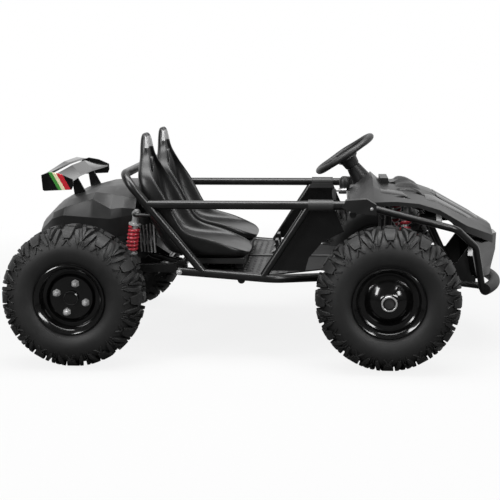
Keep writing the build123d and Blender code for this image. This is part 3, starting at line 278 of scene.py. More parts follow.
# place, body, side
WHEELS = (
    ("front_left", "front_wheel_left", 1),
    ("front_right", "front_wheel_right", -1),
    ("rear_left", "rear_wheels", 1),
    ("rear_right", "rear_wheels", -1),
)
for place, body, side in WHEELS:
    mesh = TYRE_MESH.copy()
    mesh.transform(Matrix.Translation(centre_of("tyre_" + place)))
    piece("lugged_tyre_" + place, mesh, RUBBER, body, ["tyre_" + place], smooth=35.0)

# Wheels: pressed steel rims in gloss black, the front ones coned out to a bearing hub.
# The rear ones are flat discs held by four zinc-plated nuts, with a plain cap over the axle's end.
RIM_STEPS = 96
# radius and distance from the wheel's middle, from the bead inward
FLANGE = (
    (100, 63),
    (100, 67),
    (99, 69.4),
    (97, 70.2),
    (95, 69),
    (91, 65.4),
    (86.6, 62.2),
    (84.8, 59.5),
    (84.5, 55),
)
FRONT_DISH = (
    (84.5, 47),
    (83, 42.4),
    (79, 40),
    (70, 40),
    (65, 41.4),
    (58, 47),
    (49, 54.4),
    (40, 60),
    (31, 63.8),
    (25.6, 65.8),
    (24, 67.4),
    (24, 71),
    (23, 72),
    (8.6, 72),
    (8.6, -36),
    (22, -36),
    (22, 59),
    (40, 54),
    (57, 41.5),
    (65, 35),
    (84.5, 35),
)
REAR_DISH = (
    (84.5, 34),
    (82.6, 29.4),
    (79, 28),
    (70, 28),
    (66.6, 29.4),
    (63, 35),
    (60, 37),
    (21, 37),
    (21, 31),
    (60, 31),
    (66, 22),
    (84.5, 22),
)
BACK_FLANGE = (
    (84.5, -55),
    (86.6, -62.2),
    (95, -69),
    (97, -70.2),
    (100, -67),
    (100, -63),
    (89, -62.4),
    (89, 62.4),
)
RIM_GLOSS = coat("rim_gloss", grey(0.0025), grey(0.0045), 0.10, 0.06, 40.0, 300.0, 0.03)
ZINC = coat("bright_zinc", grey(0.46), grey(0.62), 0.28, 0.12, 60.0, 500.0, 0.06, Metallic=0.5)
STEEL = coat("turned_steel", grey(0.36), grey(0.52), 0.24, 0.16, 60.0, 500.0, 0.06, Metallic=1.0)


def lathe(name, rows, side, centre, steps=RIM_STEPS):
    """A turned mesh on a wheel's axis, its outer side away from the kart's middle."""
    points, faces = turned(rows, steps)
    mesh = shape(name, points, [face[::-1] for face in faces] if side > 0 else faces)
    mesh.transform(Matrix.Translation(centre) @ Matrix.Diagonal((1, side, 1, 1)))
    mesh.update()
    return mesh


for place, body, side in WHEELS:
    dish = FRONT_DISH if "front" in place else REAR_DISH
    outer = list(FLANGE) + list(dish)
    middle = centre_of("tyre_" + place)
    mesh = lathe("rim_" + place, outer + list(BACK_FLANGE), side, middle)
    piece("pressed_rim_" + place, mesh, RIM_GLOSS, body, ["rim_" + place], smooth=30.0)
    if "front" in place:
        race = [(17.4, 71.6), (17.4, 75.4), (18.4, 76), (20.8, 75.8), (22, 74.4), (22, 71.6)]
        piece("bearing_race_" + place, lathe("race", race, side, middle), ZINC, body, smooth=30.0)
        seal = [(8.8, 71.6), (8.8, 73.4), (9.6, 74), (17.2, 74), (17.2, 71.6)]
        piece("bearing_seal_" + place, lathe("seal", seal, side, middle), RUBBER, body, smooth=30.0)
        stem = [(0.2, 0), (5, 0), (4.4, 8), (3, 12), (3, 22), (2, 24), (0.2, 24)]
        mesh = lathe("stem", stem, side, (0, 0, 0), 20)
        mesh.transform(Matrix.Translation(Vector(middle) + Vector((0.026, side * 0.054, 0.040))))
        piece("valve_stem_" + place, mesh, RUBBER, body)
    else:
        cap = [(0.2, 47), (12, 47), (17.6, 46.2), (20.4, 44), (20.6, 37.2), (0.2, 37.2)]
        piece("axle_cap_" + place, lathe("cap", cap, side, middle), RIM_GLOSS, body, smooth=30.0)

STUD_CIRCLE = 43.0
STUD_TURN = 18.0
# radius and distance from the wheel's middle of the hexagon and of the dome on it
NUT_HEX = ((11.5, 37.2), (11.5, 38.6), (10.2, 39.6), (10.2, 47.6), (8.6, 49))
NUT_DOME = ((8.4, 47), (8.4, 50), (7.4, 53.4), (5, 55.8), (0.2, 56.8))
for place, body, side in WHEELS[2:]:
    points = []
    faces = []
    for stud in range(4):
        angle = radians(side * STUD_TURN + 90.0 * stud)
        at = (STUD_CIRCLE * cos(angle), STUD_CIRCLE * sin(angle))
        for rows, steps in ((NUT_HEX, 6), (NUT_DOME, 24)):
            part, quads = turned(list(rows) + [(0.2, rows[-1][1]), (0.2, rows[0][1])], steps)
            base = len(points)
            points += [(x + at[0] * MM, y, z + at[1] * MM) for x, y, z in part]
            faces += [tuple(base + k for k in quad) for quad in quads]
    mesh = shape("nuts", points, [face[::-1] for face in faces] if side > 0 else faces)
    mesh.transform(Matrix.Translation(centre_of("tyre_" + place)) @ Matrix.Diagonal((1, side, 1, 1)))
    piece("wheel_nuts_" + place, mesh, ZINC, body, smooth=30.0)

# Axle, brake and drive: a ground steel axle with keyed hubs, a plain sprocket and disc, a roller chain.
# The motor is a finned alloy can on a bent plate, all slung on the swing arm.
DARK_STEEL = coat("dark_steel", grey(0.10), grey(0.17), 0.28, 0.16, 60.0, 500.0, 0.06, Metallic=1.0)
ALLOY = coat("cast_alloy", grey(0.40), grey(0.55), 0.30, 0.16, 60.0, 700.0, 0.12, Metallic=1.0)
FRAME_PAINT = coat("frame_paint", grey(0.005), grey(0.009), 0.24, 0.12, 30.0, 420.0, 0.08)


def dress(material, *names):
    for name in names:
        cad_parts[name].data.materials.clear()
        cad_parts[name].data.materials.append(material)


def soften(width, *names):
    """Rounds the edges of plain CAD solids."""
    for name in names:
        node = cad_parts[name]
        weld = node.modifiers.new("join", "WELD")
        weld.merge_threshold = 0.00002
        flat = node.modifiers.new("flat", "DECIMATE")
        flat.decimate_type = "DISSOLVE"
        flat.angle_limit = radians(1.0)
        edge = node.modifiers.new("edge", "BEVEL")
        edge.width = width * MM
        edge.segments = 2
        edge.limit_method = "ANGLE"
        edge.angle_limit = radians(25.0)
        node.modifiers.new("shade", "WEIGHTED_NORMAL")


def chain_looks(flow):
    wave = {"Vector": spot(flow), "Scale": 24.0, "Distortion": 0.0}
    links = flow.node("TexWave", wave, bands_direction="DIAGONAL")
    return {
        "Base Color": shades(flow, links, (0.2, grey(0.03)), (0.7, grey(0.16))),
        "Roughness": 0.3 + 0.2 * links,
    }


dress(DARK_STEEL, "rear_axle", "knuckle_left", "knuckle_right", "tie_bar")
dress(STEEL, "sprocket", "brake_disc")
dress(ALLOY, "motor", "brake_caliper")
dress(finish("chain_links", chain_looks, Metallic=1.0), "drive_chain")

# Frame: bent and welded steel tube with a satin black powder coat.
# Rails, hoops, links and arms share the coat; pedals and column brackets are painted the same way.
PAINTED = (
    ("swing_arm", "motor_plate", "lower_arms", "upper_links", "damper_stubs"),
    ("lower_rails", "cross_tubes", "rear_hoop", "upper_rails", "pillars", "dash_tube", "front_hoop"),
    ("nose_rails", "front_tubes", "rear_subframe", "nose_guards", "body_posts"),
    ("column_bearings", "steering_column", "pedals"),
)
for group in PAINTED:
    dress(FRAME_PAINT, *group)
soften(1.2, "motor_plate", "nose_guards", "pedals", "swing_arm")

# Dampers and springs: alloy damper bodies between two eyes, each in a coil of red painted steel wire.
# The rear pair stands between arm and hoop, the front pair between wishbone and nose rail.
REAR_X = -0.522
FRONT_X = 0.362
WIRE_R = 5.0
COIL_R = 13.0
WIRE_SIDES = 10
COIL_STEPS = 26
# name, lower eye, upper eye on the right side, start and end of the coils along the damper, turns
SPRINGS = (
    ("rear", (139, -262, 282), (161, -270, 422), 27, 107, 6.2),
    ("front", (917, -239.7, 201.8), (948, -190, 441), 67, 219, 8.6),
)


def red_looks(flow):
    cloud = noise(flow, 60.0)
    return {
        "Base Color": shades(flow, cloud, (0.3, (0.34, 0.022, 0.034)), (0.75, (0.46, 0.05, 0.065))),
        "Roughness": 0.2 + 0.12 * cloud,
        "Normal": bump(flow, noise(flow, 500.0), 0.08, 0.0003),
    }


RED = finish("spring_red", red_looks)


def coil(low, high, start, end, turns, points, faces):
    low = Vector(low)
    along = (Vector(high) - low).normalized()
    across = along.cross(Vector((0, 1, 0))).normalized()
    third = along.cross(across)
    steps = int(turns * COIL_STEPS)
    base = len(points)
    for step in range(steps + 1):
        angle = 2 * pi * step / COIL_STEPS
        out = across * cos(angle) + third * sin(angle)
        reach = start + WIRE_R + (end - start - 2 * WIRE_R) * step / steps
        for k in range(WIRE_SIDES):
            turn = 2 * pi * k / WIRE_SIDES
            place = low + along * (reach + WIRE_R * sin(turn)) + out * (COIL_R + WIRE_R * cos(turn))
            points.append((REAR_X + place.x * MM, place.y * MM, place.z * MM))
    for step in range(steps):
        ring = base + step * WIRE_SIDES
        for k in range(WIRE_SIDES):
            nxt = (k + 1) % WIRE_SIDES
            faces.append((ring + k, ring + nxt, ring + WIRE_SIDES + nxt, ring + WIRE_SIDES + k))
    faces.append(tuple(range(base, base + WIRE_SIDES))[::-1])
    faces.append(tuple(range(base + steps * WIRE_SIDES, base + (steps + 1) * WIRE_SIDES)))


for name, low, high, start, end, turns in SPRINGS:
    points = []
    faces = []
    for side in (1, -1):
        eyes = [(x, side * y, z) for x, y, z in (low, high)]
        coil(*eyes, start, end, turns, points, faces)
    piece(f"{name}_coils", shape("coils", points, faces), RED, "chassis", [f"{name}_springs"])
dress(ZINC, "rear_dampers", "front_dampers")

# Floor: two pressed aluminium tread plates painted black, with a plain strip between them.
# The raised bars are pressed in, in alternate directions.
BAR = (15.0, 3.6, 1.4)
BAR_PITCH = 19.0
PLATE_TOP = 252.0
# from the rear axle, half width there
PLATE_EDGE = ((335, 296), (550, 296), (735, 190))
FOOT_END = 0.600


def floor_looks(flow):
    cloud = noise(flow, 20.0, 5.0)
    ahead = axis_of(flow, "X") > REAR_X + FOOT_END
    return {
        "Base Color": shades(flow, cloud, (0.3, grey(0.004)), (0.75, grey(0.009))),
        "Roughness": 0.30 + 0.2 * cloud + 0.35 * ahead,
        "Normal": bump(flow, noise(flow, 500.0, 2.0), 0.1, 0.0004),
    }


FLOOR_PAINT = finish("floor_paint", floor_looks, Specular_IOR_Level=0.3)


def plate_half(along):
    for (x0, y0), (x1, y1) in zip(PLATE_EDGE, PLATE_EDGE[1:]):
        if x0 <= along <= x1:
            return y0 + (y1 - y0) * (along - x0) / (x1 - x0)
    return 0.0


points = []
faces = []
for row in range(14):
    for column in range(-16, 17):
        x = PLATE_EDGE[0][0] + 8 + row * BAR_PITCH
        y = column * BAR_PITCH + 0.5 * BAR_PITCH
        if abs(y) > plate_half(x) - 8 or abs(y) < 18:
            continue
        lean = radians(45 if (row + column) % 2 else -45)
        half, wide, tall = BAR
        base = len(points)
        for height, share in ((0, 1.0), (tall, 0.6)):
            for a, b in ((half / 2, 0), (0, wide), (-half / 2, 0), (0, -wide)):
                px = x + share * (a * cos(lean) - b * sin(lean))
                py = y + share * (a * sin(lean) + b * cos(lean))
                points.append((REAR_X + px * MM, py * MM, (PLATE_TOP - 0.2 + height) * MM))
        faces += [(base + k, base + (k + 1) % 4, base + 4 + (k + 1) % 4, base + 4 + k) for k in range(4)]
        faces.append((base + 4, base + 5, base + 6, base + 7))
piece("tread_bars", shape("tread_bars", points, faces), FLOOR_PAINT, "chassis", smooth=20.0)
dress(FLOOR_PAINT, "floor_plates")

# Seats: two one-piece buckets, blow-moulded in black plastic with rolled bolsters and tall heads.
# Both are bolted down to a moulded tray.
# inner face, edge and back as distance from rear axle and height, then half width
SEAT_ROWS = (
    ((176, 648), (175, 649), (168, 648), 24),
    ((181, 638), (184, 639), (163, 638), 40),
    ((180, 602), (189, 600), (161, 602), 48),
    ((182, 576), (194, 575), (162, 576), 62),
    ((185, 548), (202, 548), (162, 548), 104),
    ((188, 522), (214, 521), (163, 522), 126),
    ((193, 480), (245, 478), (166, 480), 135),
    ((200, 440), (268, 436), (172, 440), 135),
    ((216, 400), (286, 398), (196, 405), 135),
    ((240, 360), (304, 370), (222, 352), 135),
    ((272, 335), (330, 359), (245, 306), 135),
    ((320, 325), (362, 352), (290, 291), 130),
    ((380, 326), (400, 341), (380, 290), 125),
    ((440, 318), (444, 322), (440, 290), 117),
    ((470, 310), (470, 312), (468, 291), 102),
    ((484, 303), (480, 304), (482, 293), 76),
    ((488, 299), (486, 299), (486, 297), 58),
)
SEAT_Y = 160.0
LABEL_LOW, LABEL_HIGH, LABEL_FRONT = 0.606, 0.638, 0.1785
MOULDED = coat("moulded_black", grey(0.012), grey(0.018), 0.34, 0.14, 22.0, 700.0, 0.2)


def seat_looks(flow):
    cloud = noise(flow, 24.0, 5.0)
    height = axis_of(flow, "Z")
    label = (height > LABEL_LOW) * (height < LABEL_HIGH) * (axis_of(flow, "X") > REAR_X + LABEL_FRONT)
    plastic = shades(flow, cloud, (0.3, grey(0.004)), (0.75, grey(0.008)))
    return {
        "Base Color": tint(flow, label, plastic, grey(0.34)),
        "Roughness": 0.28 + 0.14 * cloud,
        "Normal": bump(flow, noise(flow, 800.0, 2.0), 0.12, 0.0004),
    }


SEAT_PLASTIC = finish("seat_plastic", seat_looks, Specular_IOR_Level=0.4)


def between(a, b, share):
    return (a[0] + share * (b[0] - a[0]), a[1] + share * (b[1] - a[1]))


def seat_ring(inner, edge, back, half):
    lip = (edge[0] + 2, edge[1] + 2)
    row = [
        (0.55 * half, inner),
        (half - 19, between(inner, edge, 0.12)),
        (half - 13, between(inner, edge, 0.9)),
        (half - 5, lip),
        (half, between(edge, back, 0.12)),
        (half, between(edge, back, 0.6)),
        (half - 10, back),
    ]
    return [(0, inner)] + row + [(0, back)] + [(-y, at) for y, at in reversed(row)]


for name, side in (("seat_left", 1), ("seat_right", -1)):
    rings = [seat_ring(*row) for row in SEAT_ROWS]
    size = len(rings[0])
    points = [(REAR_X + x * MM, (side * SEAT_Y + y) * MM, z * MM) for ring in rings for y, (x, z) in ring]
    faces = [tuple(range(size))[::-1], tuple(range(size * len(rings) - size, size * len(rings)))]
    for row in range(len(rings) - 1):
        for k in range(size):
            nxt = (k + 1) % size
            faces.append((row * size + k, row * size + nxt, (row + 1) * size + nxt, (row + 1) * size + k))
    mesh = shape(name, points, faces)
    bucket = piece("bucket_" + name, mesh, SEAT_PLASTIC, "chassis", [name], smooth=80.0)
    bucket.modifiers.new("roll", "SUBSURF").levels = 2
    bucket.modifiers["roll"].render_levels = 2
# harness slots: across the seat, distance from rear axle, height
SLOTS = ((-31.0, 185.5, 552.0), (31.0, 185.5, 552.0))
# radius as a share of the slot's half size, distance ahead of the seat's face
SLOT_RIM = ((1.0, -5), (1.0, 2.5), (1.12, 4.2), (1.3, 4.2), (1.42, 2.5), (1.45, -5))
SLOT_WELL = ((0.02, 1.2), (1.02, 1.2), (1.02, -5), (0.02, -5))
SLOT_HALF = (8.0, 17.0)
# The wells are near-black discs that paint the shade inside the harness slots. The raised rims take the
# lighter moulded black as a painted highlight on the slot edges.
SLOT_SHADE = coat("painted_slot_shade", grey(0.002), grey(0.003), 0.7, 0.2, Specular_IOR_Level=0.1)
for rows, material, label in ((SLOT_RIM, MOULDED, "harness_rims"), (SLOT_WELL, SLOT_SHADE, "harness_slot_shade")):
    points = []
    faces = []
    for side in (1, -1):
        for across, along, height in SLOTS:
            part, quads = turned(rows, 28)
            base = len(points)
            middle = (REAR_X + along * MM, (side * SEAT_Y + across) * MM, height * MM)
            wide, tall = SLOT_HALF
            points += [(middle[0] + y, middle[1] + x * wide, middle[2] + z * tall) for x, y, z in part]
            faces += [tuple(base + k for k in quad) for quad in quads]
    piece(label, shape(label, points, faces), material, "chassis")
dress(MOULDED, "seat_base", "floor_strip", "battery_box")
soften(4.0, "seat_base", "battery_box")

# Steering wheel: a steel ring and three spokes moulded over in soft black foam.
# Its boss and skirt are screwed to the column's top and turn with it.
WHEEL_HUB = Vector((FRONT_X - 0.116, 0.160, 0.561))
COLUMN_RISE = radians(56.0)
WHEEL_AXES = Matrix((
    (0, -sin(COLUMN_RISE), -cos(COLUMN_RISE), WHEEL_HUB.x),
    (1, 0, 0, WHEEL_HUB.y),
    (0, -cos(COLUMN_RISE), sin(COLUMN_RISE), WHEEL_HUB.z),
    (0, 0, 0, 1),
))
RING_R = 100.0
GRIP_R = 11.0
GRIP_FIT = 0.94
FOAM = coat("wheel_foam", grey(0.010), grey(0.016), 0.42, 0.14, 40.0, 1400.0, 0.25)
RING_STEPS = 72
RING_SIDES = 16
points = []
faces = []
for step in range(RING_STEPS):
    angle = 2 * pi * step / RING_STEPS
    swell = 1.0 + 0.06 * cos(6 * angle)
    for k in range(RING_SIDES):
        turn = 2 * pi * k / RING_SIDES
        grip = GRIP_R * swell * GRIP_FIT
        radius = RING_R + grip * cos(turn)
        points.append((radius * cos(angle) * MM, radius * sin(angle) * MM, grip * sin(turn) * MM))
        after = ((step + 1) % RING_STEPS) * RING_SIDES
        nxt = (k + 1) % RING_SIDES
        faces.append((step * RING_SIDES + k, after + k, after + nxt, step * RING_SIDES + nxt))
# distance from the hub, half width, height, half thickness of a spoke
SPOKE = ((20, 20, -12, 5), (45, 14, -9, 4), (75, 11, -5, 4), (96, 15, -1, 5))
SPOKE_TRIM = 2
for spoke in range(3):
    angle = radians(120.0 * spoke - 90.0)
    base = len(points)
    for reach, wide, height, thick in SPOKE:
        flat = wide - SPOKE_TRIM
        section = (
            (wide, height),
            (flat, height + thick),
            (-flat, height + thick),
            (-wide, height),
            (-flat, height - thick),
            (flat, height - thick),
        )
        for y, z in section:
            x = reach * cos(angle) - y * sin(angle)
            points.append((x * MM, (reach * sin(angle) + y * cos(angle)) * MM, z * MM))
    for row in range(len(SPOKE) - 1):
        for k in range(6):
            ring = base + row * 6
            faces.append((ring + k, ring + 6 + k, ring + 6 + (k + 1) % 6, ring + (k + 1) % 6))
# radius and distance along the column, the skirt first and the cap last
BOSS = (
    (10, -48.5),
    (21.5, -48.5),
    (24, -44),
    (27, -26),
    (34, -20),
    (34, -6),
    (31, -2),
    (24, 0),
    (0.2, 1),
    (0.2, -10),
    (10, -10),
)
boss, quads = turned(BOSS, 48)
base = len(points)
points += [(x, z, y) for x, y, z in boss]
faces += [tuple(base + k for k in quad) for quad in quads]
mesh = shape("wheel_ring", points, faces)
mesh.transform(WHEEL_AXES)
piece("foam_wheel", mesh, FOAM, "steering", ["steering_wheel"])

# Controls: a moulded plastic switch pod and a turned steel key lock beside the column.
# Both are fixed to the dash, and the stamped key stays in its lock.
POD_AT = (768.0, 122.0, 468.0)
POD_ROWS = ((0.2, -24), (9, -24), (15, -19), (17, -6), (17, 8), (14, 18), (8, 23), (0.2, 24))
part, quads = turned(POD_ROWS, 28)
POD_FLAT = 0.9
middle = (REAR_X + POD_AT[0] * MM, POD_AT[1] * MM, POD_AT[2] * MM)
pod_points = [(middle[0] + x, middle[1] + z * POD_FLAT, middle[2] + y) for x, y, z in part]
piece("switch_pod", shape("pod", pod_points, quads), MOULDED, "chassis")
LOCK_AT = (758.0, 104.0, 446.0)
LOCK_ROWS = ((0.2, 9), (7, 9), (9, 7.6), (9.6, 4), (9.6, -16), (0.2, -16))
part, quads = turned(LOCK_ROWS, 28)
middle = (REAR_X + LOCK_AT[0] * MM, LOCK_AT[1] * MM, LOCK_AT[2] * MM)
lock_points = [(middle[0] - y, middle[1] + x, middle[2] + z) for x, y, z in part]
piece("key_lock", shape("lock", lock_points, quads), STEEL, "chassis", smooth=30.0)
# the key's outline: away from the lock, up
KEY = ((8, 2), (16, 2), (18, 6), (26, 7), (30, 2), (29, -22), (24, -30), (17, -28), (16, -3), (8, -2))
KEY_HALF = 1.2
key_points = []
for face in (-KEY_HALF, KEY_HALF):
    key_points += [(middle[0] - x * MM, middle[1] + face * MM, middle[2] + z * MM) for x, z in KEY]
count = len(KEY)
key_faces = [tuple(range(count)), tuple(range(count, 2 * count))[::-1]]
key_faces += [((k + 1) % count, k, count + k, count + (k + 1) % count) for k in range(count)]
piece("ignition_key", shape("key", key_points, key_faces), STEEL, "chassis", smooth=30.0)

# Body: bonnet, dash, nose, tail and fairings are thermoformed black plastic with rounded edges.
# The lower walls and the nose are polished, the rest keeps the tool's fine satin grain.
SATIN_SHINE = 0.3
BODY_SATIN = coat(
    "body_satin", grey(0.009), grey(0.016), 0.32, 0.14, 16.0, 900.0, 0.14, Specular_IOR_Level=SATIN_SHINE
)
GLOSS = coat("gloss_black", grey(0.003), grey(0.006), 0.10, 0.08, 40.0, 300.0, 0.03)
WRAP_LOW = 0.434


def panel_looks(flow):
    cloud = noise(flow, 30.0)
    wrap = axis_of(flow, "Z") > WRAP_LOW
    polished = shades(flow, cloud, (0.3, grey(0.003)), (0.75, grey(0.006)))
    return {
        "Base Color": tint(flow, wrap, polished, grey(0.022)),
        "Roughness": 0.12 + 0.08 * cloud + 0.3 * wrap,
    }


dress(BODY_SATIN, "bonnet", "rail_fairings", "tail_shell", "side_covers")
dress(GLOSS, "nose", "wing_blade", "wing_stays")
dress(finish("side_panel", panel_looks), "side_panels")
dress(RUBBER, "bumper_bar")
soften(3.0, "bonnet", "tail_shell", "rail_fairings")
soften(2.5, "nose")
soften(1.2, "side_covers", "side_panels", "wing_blade", "wing_stays", "wing_ends")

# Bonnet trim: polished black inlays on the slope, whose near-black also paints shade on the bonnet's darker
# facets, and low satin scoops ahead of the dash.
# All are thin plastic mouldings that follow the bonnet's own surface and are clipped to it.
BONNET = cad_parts["bonnet"].data
BONNET_TREE = BVHTree.FromPolygons(
    [corner.co for corner in BONNET.vertices], [tuple(face.vertices) for face in BONNET.polygons]
)


# a jump in height larger than this is an opening or an edge, which a moulding bridges
BONNET_STEP = 0.030


def bonnet_top(along, across):
    """Height of the bonnet's upper surface, or nothing past its edge."""
    hit = BONNET_TREE.ray_cast(Vector((REAR_X + along * MM, across * MM, 1.0)), Vector((0, 0, -1)))[0]
    return hit.z if hit else None


def overlay(points, faces, corners, lift, crown, side, rows=10, columns=6):
    """A thin moulding between four corners on the bonnet, higher by crown along its middle."""
    a, b, c, d = [Vector(corner) for corner in corners]
    base = len(points)
    last = bonnet_top(*(a + c) / 2)
    for under in (lift, -1.0):
        for i in range(rows + 1):
            for j in range(columns + 1):
                at = a.lerp(b, j / columns).lerp(d.lerp(c, j / columns), i / rows)
                top = bonnet_top(at.x, side * at.y)
                last = top = last if top is None or abs(top - last) > BONNET_STEP else top
                edge = min(i, rows - i, j, columns - j) > 0
                swell = crown * sin(pi * i / rows) * sin(pi * j / columns) if under > 0 else 0.0
                height = top + ((under if edge or under < 0 else 0.2 * under) + swell) * MM
                points.append((REAR_X + at.x * MM, side * at.y * MM, height))
    wide = columns + 1
    sheet = (rows + 1) * wide
    for i in range(rows):
        for j in range(columns):
            k = base + i * wide + j
            upper = (k, k + 1, k + wide + 1, k + wide)
            lower = tuple(corner + sheet for corner in (k, k + wide, k + wide + 1, k + 1))
            faces += [quad if side > 0 else quad[::-1] for quad in (upper, lower)]
    rim = [base + j for j in range(wide)]
    rim += [base + i * wide + columns for i in range(1, rows + 1)]
    rim += [base + rows * wide + j for j in range(columns - 1, -1, -1)]
    rim += [base + i * wide for i in range(rows - 1, 0, -1)]
    for k, nxt in zip(rim, rim[1:] + rim[:1]):
        faces.append((nxt, k, k + sheet, nxt + sheet) if side > 0 else (k, nxt, nxt + sheet, k + sheet))


# four corners from the rear axle and from the middle, lift and crown
INLAYS = (
    (((1010, 22), (1010, 96), (1168, 66), (1168, 18)), 2.4, 0.0),
    (((1000, 112), (1000, 190), (1130, 128), (1150, 84)), 2.4, 0.0),
    (((868, 150), (868, 206), (946, 214), (938, 160)), 2.4, 0.0),
)
SCOOPS = (
    (((918, 16), (918, 96), (992, 80), (992, 16)), 3.0, 8.0),
    (((918, 116), (918, 140), (992, 132), (992, 112)), 3.0, 5.0),
)
# The inlays are darker and glossier than the bonnet. This is partly their polished plastic and partly
# painted shade on its darker facets.
INLAY_BLACK_AND_SHADE = coat(
    "inlay_black_and_painted_shade", grey(0.003), grey(0.005), 0.16, 0.1, 30.0, 400.0, 0.04, Specular_IOR_Level=SATIN_SHINE
)
# corners, finish, name, slot
TRIM = (
    (INLAYS, INLAY_BLACK_AND_SHADE, "bonnet_inlays_and_shade", "gloss"),
    (SCOOPS, BODY_SATIN, "bonnet_scoops", "body"),
)
for rows, material, label, slot in TRIM:
    points = []
    faces = []
    for corners, lift, crown in rows:
        for side in (1, -1):
            overlay(points, faces, corners, lift, crown, side)
    piece(label, shape(label, points, faces), material, "chassis", smooth=35.0)

# Louvres: pressed sheet fins in light grey paint, a row of five on each side cover.
# They stand in the cover's slots, lean with them and are riveted behind.
# foot and head of the first fin from the rear axle, step to the next one, half width, how far out
FIN_FOOT, FIN_HEAD = (168.0, 303.0), (164.0, 378.0)
FIN_STEP = (10.0, -1.0)
FIN_HALF = 3.4
FIN_OUT = (226.0, 234.5)
points = []
faces = []
for side in (1, -1):
    for fin in range(5):
        base = len(points)
        for x, z in (FIN_FOOT, FIN_HEAD):
            x, z = x + fin * FIN_STEP[0], z + fin * FIN_STEP[1] * (1 if z < 340 else -3)
            for out, half in ((FIN_OUT[0], FIN_HALF), (FIN_OUT[1], 0.6 * FIN_HALF)):
                points += [(REAR_X + (x + step * half) * MM, side * out * MM, z * MM) for step in (-1, 1)]
        block = [(0, 1, 5, 4), (2, 6, 7, 3), (0, 4, 6, 2), (1, 3, 7, 5), (0, 2, 3, 1), (4, 5, 7, 6)]
        faces += [tuple(base + k for k in (face if side < 0 else face[::-1])) for face in block]
FIN_GREY = coat("fin_grey", grey(0.26), grey(0.36), 0.35, 0.15)
piece("louvre_fins", shape("fins", points, faces), FIN_GREY, "chassis", smooth=30.0)

# Bolts: cold-forged steel hexagon heads on washers, zinc-plated.
# They clamp the swing arm's pivots, the damper eyes and the fairings.
# place from the rear axle, across on the right side, height, radius; each has a twin on the left
BOLTS = (
    (292, 328, 260, 5.5),
    (139, 274, 282, 7),
    (161, 282, 422, 7),
    (838, 333, 446, 3),
)
points = []
faces = []
for along, across, height, radius in BOLTS:
    for side in (1, -1):
        for rows, steps in (
            (((0.2, 1.4), (1.5, 1.4), (1.5, -2), (0.2, -2)), 24),
            (((0.2, 5), (0.75, 5), (0.95, 4.2), (0.95, 0), (0.2, 0)), 6),
        ):
            part, quads = turned([(r * radius, d) for r, d in rows], steps)
            base = len(points)
            middle = (REAR_X + along * MM, across * MM, height * MM)
            points += [(middle[0] + x, side * (middle[1] + y), middle[2] + z) for x, y, z in part]
            faces += [tuple(base + k for k in (quad if side < 0 else quad[::-1])) for quad in quads]
piece("zinc_bolts", shape("bolts", points, faces), ZINC, "chassis", smooth=30.0)

# Wing ends: gloss black moulded plates screwed to the blade's two ends.
# A slanted band of three painted stripes crosses the outer face of each.
STRIPE_LEAN = 0.55
# place across the band in millimetres at the plate's middle height, colour
STRIPES = ((-83.0, (0.05, 0.22, 0.04)), (-72.0, (0.66, 0.60, 0.40)), (-61.0, (0.42, 0.02, 0.03)))
STRIPE_END = -45.0
OUTER_FACE = 0.2545


def wing_end_looks(flow):
    run = axis_of(flow, "X") - REAR_X + STRIPE_LEAN * (axis_of(flow, "Z") - 0.51)
    outside = flow.node("Math", {0: axis_of(flow, "Y")}, operation="ABSOLUTE") > OUTER_FACE
    plain = shades(flow, noise(flow, 40.0), (0.3, grey(0.003)), (0.75, grey(0.006)))
    colour = plain
    for start, paint in STRIPES:
        colour = tint(flow, run > start * MM, colour, paint)
    colour = tint(flow, run > STRIPE_END * MM, colour, plain)
    return {"Base Color": tint(flow, outside, plain, colour), "Roughness": 0.12 + 0.08 * noise(flow, 40.0)}


dress(finish("wing_end_stripes", wing_end_looks), "wing_ends")

# Headlamps: two black pressed cans with pale bezels, bolted under the bonnet's edge.
# A domed clear lens is glued over the bright reflector of each.
LAMP_AT = (978.0, 240.0, 406.0)
LAMP_FRONT = LAMP_AT[0] + 61.0


def lamp_looks(flow):
    bezel = axis_of(flow, "X") > REAR_X + (LAMP_FRONT - 14.5) * MM
    cloud = noise(flow, 50.0)
    return {
        "Base Color": tint(flow, bezel, grey(0.008), grey(0.66)),
        "Metallic": bezel * 0.2,
        "Roughness": 0.12 + 0.1 * cloud,
    }


dress(finish("lamp_can", lamp_looks), "headlamps")


def lens_looks(flow):
    return {
        "Base Color": shades(flow, noise(flow, 90.0), (0.3, grey(0.66)), (0.75, grey(0.84))),
        "Roughness": 0.06 + 0.06 * noise(flow, 200.0),
    }


LENS = finish("lamp_lens", lens_looks, Coat_Weight=1.0)
for side in (1, -1):
    part, quads = turned([(0.2, 4), (6, 3.6), (11, 2.2), (14.6, 0.2), (14.6, -0.4), (0.2, -0.4)], 40)
    middle = (REAR_X + LAMP_FRONT * MM, side * LAMP_AT[1] * MM, LAMP_AT[2] * MM)
    mesh = shape("lens", [(middle[0] + y, middle[1] + x, middle[2] + z) for x, y, z in part], quads)
    piece(f"lamp_lens_{'left' if side > 0 else 'right'}", mesh, LENS, "chassis")

# Studio: a white floor and backdrop, one softbox overhead and two strips in front.
# The side that faces the backdrop shows it in its reflections, and the front of the set is dark.
FLOOR_SHARE = 0.86
# distances from the kart's middle between which the floor turns to plain white
FADE_NEAR, FADE_FAR = 1.2, 2.6


def smooth_step(flow, value, start, end, low=0.0):
    """Goes softly from low to one as the value goes from start to end."""
    places = {0: value, 1: start, 2: end, 3: low, 4: 1.0}
    return flow.node("MapRange", places, interpolation_type="SMOOTHSTEP")


